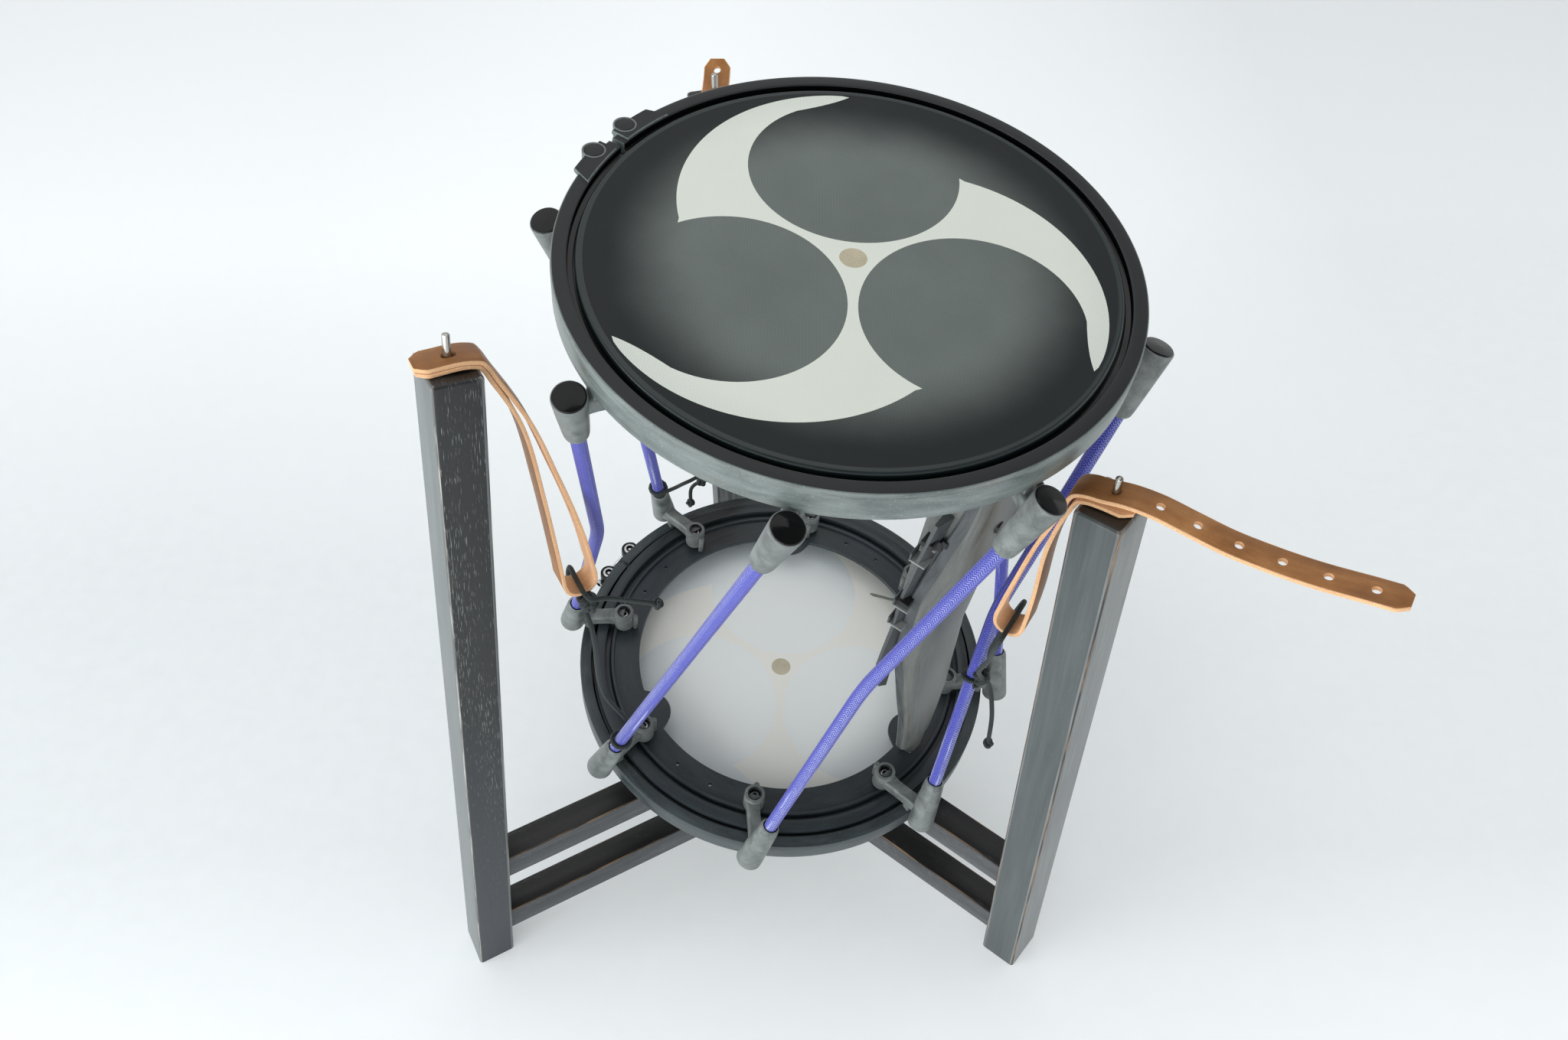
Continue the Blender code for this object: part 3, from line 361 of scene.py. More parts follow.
class Finish:
    """A material and short ways to add nodes to it."""

    def __init__(self, name, colour=(0.5, 0.5, 0.5), roughness=0.5, metallic=0.0, **sockets):
        self.material = bpy.data.materials.new(name)
        self.material.use_nodes = True
        self.tree = self.material.node_tree
        self.shader = self.tree.nodes["Principled BSDF"]
        self.shader.inputs["Base Color"].default_value = (*colour, 1.0)
        self.shader.inputs["Roughness"].default_value = roughness
        self.shader.inputs["Metallic"].default_value = metallic
        for key, value in sockets.items():
            self.shader.inputs[key.replace("_", " ")].default_value = value

    def node(self, kind, values, **settings):
        node = self.tree.nodes.new(kind)
        for key, value in settings.items():
            setattr(node, key, value)
        for key, value in values.items():
            if isinstance(value, bpy.types.NodeSocket):
                self.tree.links.new(value, node.inputs[key])
            else:
                node.inputs[key].default_value = value
        return node

    def lengths(self):
        return self.node("ShaderNodeUVMap", {}, uv_map="lengths").outputs["UV"]

    def spot(self):
        return self.node("ShaderNodeTexCoord", {}).outputs["Object"]

    def scaled(self, vector, scale, rotation=(0, 0, 0)):
        return self.node("ShaderNodeMapping", {"Vector": vector, "Scale": scale, "Rotation": rotation}).outputs[0]

    def noise(self, vector, scale, detail=4.0, roughness=0.55, distortion=0.0):
        return self.node("ShaderNodeTexNoise", {"Vector": vector, "Scale": scale, "Detail": detail,
                                                "Roughness": roughness, "Distortion": distortion}).outputs["Fac"]

    def cells(self, vector, scale, randomness=1.0):
        return self.node("ShaderNodeTexVoronoi", {"Vector": vector, "Scale": scale,
                                                  "Randomness": randomness}).outputs["Distance"]

    def maths(self, operation, a, b=0.0, c=0.0):
        node = self.tree.nodes.new("ShaderNodeMath")
        node.operation = operation
        for socket, value in zip(node.inputs, (a, b, c)):
            if isinstance(value, bpy.types.NodeSocket):
                self.tree.links.new(value, socket)
            else:
                socket.default_value = value
        return node.outputs[0]

    def parts(self, vector):
        node = self.node("ShaderNodeSeparateXYZ", {"Vector": vector})
        return node.outputs[0], node.outputs[1], node.outputs[2]

    def span(self, value, low, high, to_low=0.0, to_high=1.0):
        return self.node("ShaderNodeMapRange", {"Value": value, "From Min": low, "From Max": high,
                                                "To Min": to_low, "To Max": to_high}).outputs[0]

    def colours(self, value, stops):
        node = self.node("ShaderNodeValToRGB", {"Fac": value})
        ramp = node.color_ramp
        while len(ramp.elements) < len(stops):
            ramp.elements.new(0.5)
        for element, (place, colour) in zip(ramp.elements, stops):
            element.position = place
            element.color = (*colour, 1.0)
        return node.outputs["Color"]

    def mix(self, share, first, second, blend="MIX"):
        node = self.tree.nodes.new("ShaderNodeMix")
        node.data_type = "RGBA"
        node.blend_type = blend
        for socket, value in ((node.inputs["Factor"], share), (node.inputs[6], first), (node.inputs[7], second)):
            if isinstance(value, bpy.types.NodeSocket):
                self.tree.links.new(value, socket)
            elif isinstance(value, tuple):
                socket.default_value = (*value, 1.0)
            else:
                socket.default_value = value
        return node.outputs[2]

    def bump(self, height, strength, distance, normal=None):
        values = {"Height": height, "Strength": strength, "Distance": distance}
        if normal is not None:
            values["Normal"] = normal
        return self.node("ShaderNodeBump", values).outputs["Normal"]

    def set(self, **sockets):
        for key, value in sockets.items():
            self.tree.links.new(value, self.shader.inputs[key.replace("_", " ")])
        return self.material


def timber(name, dark, mid, pore, streaks=0.60, roughness=0.42, wave=1.2, foot=None):
    """Stained timber whose grain runs along the first length of the UV layer, with short pale pores."""
    f = Finish(name, Specular_IOR_Level=0.5)
    wavy = f.noise(f.scaled(f.lengths(), (5.0, 60.0, 1.0)), 1.0, 3.0, 0.6, wave)
    fibres = f.noise(f.scaled(f.lengths(), (8.0, 420.0, 1.0)), 1.0, 3.0, 0.6, 0.3)
    pores = f.noise(f.scaled(f.lengths(), (85.0, 1500.0, 1.0)), 1.0, 2.0, 0.5)
    patches = f.noise(f.scaled(f.lengths(), (3.0, 30.0, 1.0)), 1.0, 2.0)
    base = f.colours(f.maths("ADD", f.maths("MULTIPLY", wavy, 0.65), f.maths("MULTIPLY", fibres, 0.35)),
                     [(0.36, dark), (0.64, mid)])
    lines = f.span(f.maths("MULTIPLY", pores, f.span(patches, 0.3, 0.7, 0.86, 1.10)), streaks, streaks + 0.07)
    if foot:
        low = f.span(f.parts(f.lengths())[0], 0.05, 0.42, 1.0, 0.0)
        base = f.mix(low, base, foot)
        lines = f.maths("MULTIPLY", lines, f.maths("SUBTRACT", 1.0, low))
    colour = f.mix(lines, base, pore)
    rough = f.span(wavy, 0.2, 0.8, roughness - 0.07, roughness + 0.1)
    normal = f.bump(f.maths("SUBTRACT", f.maths("ADD", fibres, f.maths("MULTIPLY", wavy, 0.6)), lines), 0.22, 0.0003)
    return f.set(Base_Color=colour, Roughness=rough, Normal=normal)


def worn_timber(name, dark, rubbed):
    """An edge rubbed through its stain in long thin runs."""
    f = Finish(name)
    wear = f.noise(f.scaled(f.lengths(), (16.0, 400.0, 1.0)), 1.0, 4.0, 0.6)
    colour = f.colours(wear, [(0.46, dark), (0.62, rubbed)])
    return f.set(Base_Color=colour, Roughness=f.span(wear, 0.3, 0.7, 0.4, 0.6), Normal=f.bump(wear, 0.15, 0.0003))


def resin(name, dark, pale, patch, roughness, flow=(1.0, 1.0, 1.0), fleck=900.0):
    """Moulded resin with flow marks and fine flecks."""
    f = Finish(name)
    place = f.scaled(f.lengths(), flow)
    marks = f.noise(place, 60.0, 5.0, 0.6, 0.6)
    flecks = f.noise(f.spot(), fleck, 2.0, 0.6)
    colour = f.colours(marks, [(0.32, dark), (0.68, pale)])
    colour = f.mix(f.span(f.noise(place, 17.0, 3.0), 0.58, 0.74, 0.0, 0.6), colour, patch)
    colour = f.mix(f.span(flecks, 0.60, 0.74, 0.0, 0.4), colour, tuple(min(1.0, 1.9 * c) for c in pale))
    rough = f.span(marks, 0.3, 0.7, roughness - 0.06, roughness + 0.08)
    normal = f.bump(f.maths("ADD", f.maths("MULTIPLY", marks, 0.7), f.maths("MULTIPLY", flecks, 0.3)), 0.12, 0.0003)
    return f.set(Base_Color=colour, Roughness=rough, Normal=normal)


def simple(name, colour, roughness, metallic=0.0, grain=700.0, depth=0.0001, spread=0.12):
    """A plain finish with fine grain in its colour, gloss and surface."""
    f = Finish(name, colour, roughness, metallic)
    fine = f.noise(f.spot(), grain, 3.0)
    broad = f.noise(f.spot(), 45.0, 3.0)
    low = tuple(c * (1 - spread) for c in colour)
    high = tuple(min(1.0, c * (1 + spread)) for c in colour)
    shade = f.colours(f.maths("ADD", f.maths("MULTIPLY", fine, 0.5), f.maths("MULTIPLY", broad, 0.5)),
                      [(0.35, low), (0.65, high)])
    return f.set(Base_Color=shade, Roughness=f.span(broad, 0.3, 0.7, max(0.05, roughness - 0.06), roughness + 0.06),
                 Normal=f.bump(fine, 0.15, depth))


def braid(name, base, highlight, shade, rib_length, columns):
    """A braided sleeve: columns of short slanted ribs that lean left and right in turn, with painted shade in the
    valleys, painted highlights on the ribs of the side that faces up and outward, and painted reflection streaks along
    the lower part.
    """
    f = Finish(name, Sheen_Weight=0.2, Specular_IOR_Level=0.55)
    along, across, _ = f.parts(f.lengths())
    wobble = f.maths("MULTIPLY", f.maths("SUBTRACT", f.noise(f.lengths(), 120.0, 2.0), 0.5), 0.0009)
    column = f.maths("DIVIDE", f.maths("ADD", across, wobble), 2 * pi * rod_radius / columns)
    number = f.maths("FLOOR", column)
    inside = f.maths("SUBTRACT", f.maths("FRACT", column), 0.5)
    lean = f.maths("SUBTRACT", f.maths("MULTIPLY", f.maths("MODULO", number, 2.0), 2.0), 1.0)
    slanted = f.maths("ADD", f.maths("DIVIDE", along, rib_length), f.maths("MULTIPLY", lean, inside))
    rib = f.maths("ABSOLUTE", f.maths("SINE", f.maths("MULTIPLY", slanted, pi)))
    valley = f.maths("MULTIPLY", f.maths("ABSOLUTE", inside), 2.0)
    seed = f.node("ShaderNodeCombineXYZ", {"X": f.maths("FLOOR", slanted), "Y": number, "Z": 0.0}).outputs[0]
    chance = f.node("ShaderNodeTexWhiteNoise", {"Vector": seed}).outputs["Value"]
    every = f.maths("MODULO", number, 4.0)
    runs = f.noise(f.scaled(f.lengths(), (14.0, 260.0, 1.0)), 1.0, 3.0, 0.6)
    # Painted reflection: straight pale streaks near the lower end of the rod.
    straight = f.maths("MULTIPLY", f.span(along, 0.12, 0.20, 1.0, 0.0), f.span(runs, 0.46, 0.52))
    height = f.maths("MAXIMUM", straight, rib)
    # Painted shade in the valleys between the ribs.
    body = f.mix(f.span(rib, 0.25, 0.85), shade, base)
    lit = f.mix(f.span(height, 0.45, 0.75), base, highlight)
    # Painted highlight: this mask picks the side of the rod that faces up and outward, toward the lamps.
    outward, _, upward = f.parts(f.node("ShaderNodeTexCoord", {}).outputs["Normal"])
    rubbed = f.maths("ADD", f.maths("MULTIPLY", outward, 0.67), f.maths("MULTIPLY", upward, 0.73))
    share = f.maths("MULTIPLY", f.span(rib, 0.66, 0.80), f.span(f.maths("ADD", chance, runs), 0.5, 1.3, 0.6, 1.0))
    share = f.maths("MULTIPLY", share, f.span(rubbed, 0.55, 1.0, 0.10, 0.85))
    lines = f.maths("MULTIPLY", straight, f.maths("LESS_THAN", every, 0.5))
    share = f.maths("MAXIMUM", share, f.maths("MULTIPLY", lines, 0.5))
    colour = f.mix(share, body, lit)
    # Painted shade where the columns meet.
    colour = f.mix(f.span(valley, 0.78, 1.0, 0.0, 0.6), colour, shade)
    return f.set(Base_Color=colour, Roughness=f.span(rib, 0.0, 1.0, 0.62, 0.40),
                 Normal=f.bump(f.maths("SUBTRACT", rib, f.maths("MULTIPLY", f.maths("POWER", valley, 3.0), 0.8)),
                               0.8, 0.0005))


def leather_grain(name, dark, mid, pale):
    f = Finish(name, Specular_IOR_Level=0.45)
    grain = f.cells(f.spot(), 900.0)
    fine = f.noise(f.spot(), 380.0, 4.0)
    broad = f.noise(f.spot(), 30.0, 4.0, 0.6)
    along = f.noise(f.scaled(f.lengths(), (12.0, 90.0, 1.0)), 1.0, 4.0, 0.6)
    value = f.maths("ADD", f.maths("MULTIPLY", broad, 0.55), f.maths("MULTIPLY", along, 0.45))
    colour = f.colours(value, [(0.30, dark), (0.50, mid), (0.72, pale)])
    colour = f.mix(f.span(fine, 0.62, 0.76, 0.0, 0.35), colour, dark)
    normal = f.bump(f.maths("ADD", grain, fine), 0.22, 0.0003)
    return f.set(Base_Color=colour, Roughness=f.span(broad, 0.3, 0.7, 0.42, 0.58), Normal=normal)


def leather_flesh(name, dark, pale):
    f = Finish(name, Sheen_Weight=0.15)
    nap = f.noise(f.spot(), 1300.0, 4.0, 0.7)
    layers = f.noise(f.scaled(f.lengths(), (30.0, 1400.0, 1.0)), 1.0, 3.0)
    value = f.maths("ADD", f.maths("MULTIPLY", nap, 0.6), f.maths("MULTIPLY", layers, 0.4))
    return f.set(Base_Color=f.colours(value, [(0.34, dark), (0.62, pale)]), Roughness=f.span(nap, 0.2, 0.8, 0.8, 0.95),
                 Normal=f.bump(nap, 0.35, 0.0003))


def woven(name, colour, dark, far, pitch=0.0011, contrast=0.5, upper=False, spread=(0.70, 0.92)):
    """Square weave in the plane of a drum head, with painted shade toward the rim and, where upper is set, painted
    shadows over the sensors beneath, standing in for the dark inside seen through the mesh.
    """
    f = Finish(name, Specular_IOR_Level=0.35)
    x, y, _ = f.parts(f.spot())
    jitter = f.maths("MULTIPLY", f.noise(f.spot(), 300.0, 2.0), 0.5)
    warp = f.maths("ABSOLUTE", f.maths("SINE", f.maths("ADD", f.maths("MULTIPLY", x, pi / pitch), jitter)))
    weft = f.maths("ABSOLUTE", f.maths("SINE", f.maths("ADD", f.maths("MULTIPLY", y, pi / pitch), jitter)))
    mesh = f.maths("MAXIMUM", warp, weft)
    crossing = f.maths("MULTIPLY", warp, weft)
    broad = f.noise(f.spot(), 14.0, 3.0)
    radius = f.maths("SQRT", f.maths("ADD", f.maths("MULTIPLY", x, x), f.maths("MULTIPLY", y, y)))
    # Painted shade: toward the rim the colour goes over to far, the shaded inside of the drum seen through the weave.
    shadow = f.span(f.maths("ADD", radius, f.maths("MULTIPLY", f.maths("SUBTRACT", broad, 0.5), 0.012)),
                    spread[0] * hoop_radius, spread[1] * hoop_radius)
    shadow.node.interpolation_type = "SMOOTHSTEP"
    if upper:
        # Painted shadows of the three sensors under the upper head.
        for azimuth in sensor_azimuths:
            dx = f.maths("SUBTRACT", x, sensor_centre_radius * cos(azimuth))
            dy = f.maths("SUBTRACT", y, -sensor_centre_radius * sin(azimuth))
            away = f.maths("SQRT", f.maths("ADD", f.maths("MULTIPLY", dx, dx), f.maths("MULTIPLY", dy, dy)))
            spot = f.span(away, 0.006, 0.021, 0.75, 0.0)
            spot.node.interpolation_type = "SMOOTHSTEP"
            shadow = f.maths("MAXIMUM", shadow, spot)
    shade = f.mix(f.span(mesh, 0.55, 1.0), f.mix(contrast, colour, dark), colour)
    shade = f.mix(f.span(crossing, 0.75, 1.0, 0.0, 0.45 * contrast), shade, tuple(min(1.0, 1.6 * c) for c in colour))
    shade = f.mix(shadow, shade, f.mix(f.span(mesh, 0.5, 1.0), tuple(0.7 * c for c in far), far))
    shade = f.mix(f.span(broad, 0.35, 0.65, 0.0, 0.12), shade, dark)
    return f.set(Base_Color=shade, Roughness=f.span(broad, 0.3, 0.7, 0.52, 0.66),
                 Normal=f.bump(mesh, 0.2, 0.00015))


def cord_finish(name, dark, pale):
    f = Finish(name, Sheen_Weight=0.1)
    along, across, _ = f.parts(f.lengths())
    twist = f.maths("ADD", f.maths("DIVIDE", along, 0.0022), f.maths("DIVIDE", across, 0.0044))
    other = f.maths("SUBTRACT", f.maths("DIVIDE", along, 0.0022), f.maths("DIVIDE", across, 0.0044))
    lay = f.maths("MAXIMUM", f.maths("ABSOLUTE", f.maths("SINE", f.maths("MULTIPLY", twist, pi))),
                  f.maths("ABSOLUTE", f.maths("SINE", f.maths("MULTIPLY", other, pi))))
    nap = f.noise(f.spot(), 900.0, 3.0)
    value = f.maths("ADD", f.maths("MULTIPLY", lay, 0.6), f.maths("MULTIPLY", nap, 0.4))
    return f.set(Base_Color=f.colours(value, [(0.45, dark), (0.85, pale)]),
                 Roughness=f.span(nap, 0.3, 0.7, 0.62, 0.8), Normal=f.bump(value, 0.6, 0.0004))


timber_leg = timber("timber_leg", tone(20, 22, 24), tone(32, 34, 36), tone(124, 126, 124), 0.60, 0.42, 0.4, tone(56, 60, 66))
# Painted reflection: a lighter copy of the near black leg stain, for the inner and outer faces of the right and back
# legs.
timber_side_reflection = timber("timber_side_reflection", tone(84, 88, 90), tone(130, 134, 134), tone(156, 158, 156), 0.74, 0.36, 2.4)
# Painted reflection: the rails' sides, painted lighter than their near black tops.
timber_rail = timber("timber_rail", tone(52, 54, 57), tone(84, 87, 90), tone(120, 122, 122), 0.62, 0.45)
# Painted reflection: lighter copies of the leg stain, for the left leg's inner and outer faces and the right leg's
# side faces.
timber_pale_reflection = timber("timber_pale_reflection", tone(90, 95, 96), tone(112, 117, 118), tone(132, 134, 134), 0.74, 0.38, 0.5)
timber_smooth_reflection = timber("timber_smooth_reflection", tone(64, 70, 71), tone(82, 89, 90), tone(108, 112, 112), 0.72, 0.40, 0.9)
timber_top = timber("timber_top", tone(24, 24, 25), tone(38, 37, 37), tone(78, 78, 78), 0.64, 0.38)
timber_edge = worn_timber("timber_edge", tone(44, 40, 37), tone(150, 120, 88))
# Worn edges, in the lighter tones of the left leg's painted reflection.
pale_edge_wear_and_reflection = worn_timber("pale_edge_wear_and_reflection", tone(96, 96, 94), tone(176, 174, 168))
# Per leg: inner and outer faces, side faces, worn corners and top; the lighter ones are painted reflection.
leg_finishes = {
    "left": [timber_pale_reflection, timber_leg, pale_edge_wear_and_reflection, timber_top],
    "right": [timber_side_reflection, timber_smooth_reflection, timber_edge, timber_top],
    "back": [timber_side_reflection, timber_leg, timber_edge, timber_top],
}
hoop_face = resin("hoop_face", tone(12, 15, 17), tone(20, 24, 26), tone(26, 28, 28), 0.50, (0.4, 2.0, 1.0))
# Partly pale resin, partly painted reflection: the hoops' sides are painted far lighter than their dark tops.
hoop_side_resin_and_reflection = resin("hoop_side_resin_and_reflection", tone(82, 91, 90), tone(122, 132, 130), tone(132, 124, 112), 0.36, (0.45, 1.8, 1.0), 700.0)
# Painted shade: a darker copy of the side finish, for the lower hoop.
hoop_shaded_side = resin("hoop_shaded_side", tone(44, 51, 53), tone(70, 79, 81), tone(84, 84, 80), 0.40, (0.45, 1.8, 1.0), 700.0)
hoop_line = simple("hoop_line", tone(118, 124, 122), 0.4)
gloss_black = simple("gloss_black", tone(9, 10, 11), 0.10, 0.0, 300.0, 0.00005)
gloss_black.node_tree.nodes["Principled BSDF"].inputs["Specular IOR Level"].default_value = 0.3
screw_black = simple("screw_black", tone(22, 23, 25), 0.3, 0.4)
bright_steel = simple("bright_steel", tone(196, 198, 198), 0.24, 1.0)
pin_steel = simple("pin_steel", tone(176, 174, 168), 0.14, 1.0)
lug_resin = resin("lug_resin", tone(80, 85, 84), tone(130, 137, 135), tone(106, 108, 104), 0.38, fleck=1300.0)
lug_rim = simple("lug_rim", tone(120, 124, 124), 0.25)
ring_resin = resin("ring_resin", tone(34, 41, 44), tone(50, 58, 62), tone(44, 49, 51), 0.34, (0.3, 1.5, 1.0))
# Painted light and shade: the dark slate mesh is painted pale in the middle, where the bright lower head shows
# through, and near black toward the rim.
head_dark = woven("head_dark", tone(118, 127, 123), tone(58, 66, 66), tone(13, 21, 23), upper=True,
                  spread=(0.52, 0.84))
head_rim = simple("head_rim", tone(24, 36, 38), 0.34)
head_white = woven("head_white", tone(238, 243, 232), tone(214, 221, 212), tone(234, 241, 232), contrast=0.25,
                   upper=True)
head_dot = simple("head_dot", tone(196, 186, 160), 0.6)
# Painted shade: the heads' inner faces darken toward the rim, where the drum shades them.
inner_cream = woven("inner_cream", tone(252, 252, 244), tone(242, 242, 234), tone(226, 230, 222), contrast=0.3,
                    spread=(0.55, 0.95))
inner_pale = woven("inner_pale", tone(250, 254, 252), tone(240, 246, 244), tone(206, 220, 222), contrast=0.4,
                   spread=(0.45, 0.95))
inner_dot = simple("inner_dot", tone(204, 195, 170), 0.7)
sleeve_blue = braid("sleeve_blue", tone(60, 68, 200), tone(218, 226, 248), tone(34, 38, 144), 0.0026, 16)
grain_side = leather_grain("grain_side", tone(118, 74, 34), tone(158, 104, 52), tone(196, 142, 86))
flesh_side = leather_flesh("flesh_side", tone(196, 142, 98), tone(240, 196, 150))
cord_dark = cord_finish("cord_dark", tone(12, 17, 18), tone(38, 49, 49))
module_grey = resin("module_grey", tone(82, 86, 83), tone(110, 113, 109), tone(104, 97, 86), 0.40, (0.35, 3.2, 1.0))
module_side = resin("module_side", tone(60, 64, 66), tone(84, 88, 90), tone(74, 76, 76), 0.42, (0.5, 2.5, 1.0))
module_pale = simple("module_pale", tone(150, 154, 152), 0.4)
module_black = simple("module_black", tone(24, 26, 28), 0.4)
foam_black = simple("foam_black", tone(24, 25, 26), 0.9, 0.0, 1500.0, 0.0005, 0.4)
wire_dark = simple("wire_dark", tone(88, 92, 84), 0.4, 0.6)


# Cords and straps
def leg_axis(side):
    _, foot, top, height = leg_places[side]
    return Vector((top - foot, 0, height)).normalized()


def leg_top(side):
    """Middle of the leg's top face, which is cut square to the leg."""
    _, _, top, height = leg_places[side]
    axis = leg_axis(side)
    return Vector((top, 0, height + axis.x * leg_depth / 2))


strap_azimuths = {"left": radians(209.0), "right": radians(329.0), "back": radians(88.0)}
strap_eyes = {"left": 0.0129, "right": 0.0109, "back": 0.0109}
# How far the strap's bend is kept inward of the leg's inner edge
strap_bend_shift = {"left": 0.0, "right": 0.0022, "back": 0.0060}
# How much the upper layer rises over the lower one at the bend
strap_bend_lift = {"left": 0.0, "right": 0.002, "back": 0.0}
# Middle of each layer outward of the pin and above the top of the leg, from the free end
lower_tails = {
    "left": [(0.0225, 0.0047), (0.0120, 0.0040)],
    "right": [(0.0155, 0.0023), (0.0050, 0.0026), (-0.0060, 0.0032)],
    "back": [(0.0200, 0.0052), (0.0100, 0.0036)],
}
upper_tails = {
    "left": [(0.0225, 0.0090), (0.0120, 0.0078)],
    "right": [(0.1860, 0.0144), (0.1630, 0.0112), (0.1330, 0.0070), (0.1050, 0.0050), (0.0800, 0.0052),
              (0.0500, 0.0092), (0.0270, 0.0122), (0.0080, 0.0118), (-0.0060, 0.0092)],
    "back": [(0.0330, 0.0200), (0.0290, 0.0138), (0.0220, 0.0098), (0.0120, 0.0078)],
}
# Line between the two layers under the bend, down to the middle of the eye
strap_falls = {
    "left": [(-0.0380, -0.0570), (-0.0470, -0.1270), (-0.0525, -0.1970), (-0.0540, -0.2400)],
    "right": [(-0.0380, -0.0500), (-0.0470, -0.1100), (-0.0530, -0.1500)],
    "back": [(-0.0260, -0.0590), (-0.0180, -0.1940), (-0.0040, -0.3540), (0.0020, -0.4340)],
}

# Cords, each wound round a rod over its lug, then through a strap's eye
cord_radius = 0.0021
cord_step = 0.010
cord_wrap_turns = 1.15
cord_wrap_steps = 14
cord_wrap_rise = 0.006
cord_overhang = 0.006
# The rod's number, how far up from the lug's foot the winding starts and where round the rod
cord_wraps = {
    "left": (5, 0.072, radians(150.0)),
    "right": (7, 0.190, radians(20.0)),
    "back": (3, 0.070, radians(178.0)),
}
# Free points before the eye and after it, in the stand's coordinates
cord_before_eye = {
    "left": [(-0.1640, -0.1090, 0.340), (-0.1672, -0.1035, 0.454), (-0.1740, -0.0920, 0.462),
             (-0.1812, -0.0800, 0.466)],
    "right": [(0.1655, -0.1180, 0.415)],
    "back": [(-0.1150, 0.2150, 0.276)],
}
cord_after_eye = {
    "left": [(-0.1590, -0.1085, 0.4690), (-0.1500, -0.1045, 0.4655), (-0.1332, -0.1040, 0.4630),
             (-0.1068, -0.1050, 0.4590)],
    "right": [(0.1580, -0.1480, 0.440), (0.1600, -0.1190, 0.378), (0.1690, -0.1135, 0.360),
              (0.1750, -0.1170, 0.325), (0.1765, -0.1180, 0.275)],
    "back": [(-0.0500, 0.2450, 0.2550), (-0.0760, 0.2450, 0.2520), (-0.1010, 0.2400, 0.2530),
             (-0.1130, 0.2380, 0.2460), (-0.1180, 0.2370, 0.2200)],
}


def strap_frame(side):
    place = spin(leg_places[side][0]) @ leg_top(side)
    return Matrix.Translation(place + stand_shift) @ spin(strap_azimuths[side])


def strap_line(side, spacing):
    """Middle line of the folded strap, from the lower layer's free end round the eye to the upper one's."""
    axis = leg_axis(side)
    outward = Vector((axis.z, 0, -axis.x))
    corner = (leg_edge - leg_depth / 2) * outward - leg_edge * axis
    corner.x -= strap_bend_shift[side]
    near = leg_edge + seat_gap + strap_thickness / 2
    far = near + strap_thickness + layer_gap + strap_bend_lift[side]
    layers = []
    for tails, reach in ((lower_tails, near), (upper_tails, far)):
        line = [Vector((x, 0, z)) for x, z in tails[side]]
        for turn in (radians(100), radians(135), radians(168)):
            line.append(corner + reach * Vector((cos(turn), 0, sin(turn))))
        layers.append(line)
    top = 0.5 * (layers[0][-1] + layers[1][-1])
    falling = [Vector((x, 0, z)) for x, z in strap_falls[side]]
    middle = smooth_path([top, *falling], 0.013)[1:]
    half_start = (strap_thickness + layer_gap) / 2
    eye = strap_eyes[side]
    total = path_length(middle)
    done = 0.0
    near_side, far_side = [], []
    for i, point in enumerate(middle):
        if i:
            done += (point - middle[i - 1]).length
        run = (middle[min(i + 1, len(middle) - 1)] - middle[max(i - 1, 0)]).normalized()
        normal = Vector((-run.z, 0, run.x))
        opening = half_start + (eye - half_start) * smooth_ratio(done / total)
        near_side.append(point + normal * opening)
        far_side.append(point - normal * opening)
    run = (middle[-1] - middle[-2]).normalized()
    across = Vector((-run.z, 0, run.x))
    turn = [middle[-1] + eye * (cos(a) * across + sin(a) * run) for a in (radians(30 * k) for k in range(1, 6))]
    return smooth_path([*layers[0], *near_side, *turn, *far_side[::-1], *layers[1][::-1]], spacing)


def strap_normals(line):
    normals = []
    for i in range(len(line)):
        run = (line[min(i + 1, len(line) - 1)] - line[max(i - 1, 0)]).normalized()
        normals.append(Vector((-run.z, 0, run.x)))
    return normals


def pin_slot(side):
    """Upright slot as long as the pin leans, so that the strap can be lifted straight off it."""
    lean = spin(leg_places[side][0] - strap_azimuths[side]) @ leg_axis(side)
    length = pin_above_leg * lean.xy.length / lean.z
    radius = strap_hole_radius + seat_gap
    turn = spin(atan2(lean.y, lean.x))
    shape = Shape()
    rows = []
    for z in (-0.003, 0.030):
        row = []
        for k in range(24):
            a = 2 * pi * (k + 0.5) / 24
            row.append(turn @ Vector((radius * cos(a) + (length if cos(a) > 0 else 0.0), radius * sin(a), z)))
        rows.append(row)
    verts = shape.grid(rows, paint=[1])
    shape.cap(verts[0], 1)
    shape.cap(verts[-1], 1)
    return shape.mesh("slot", [grain_side, flesh_side])


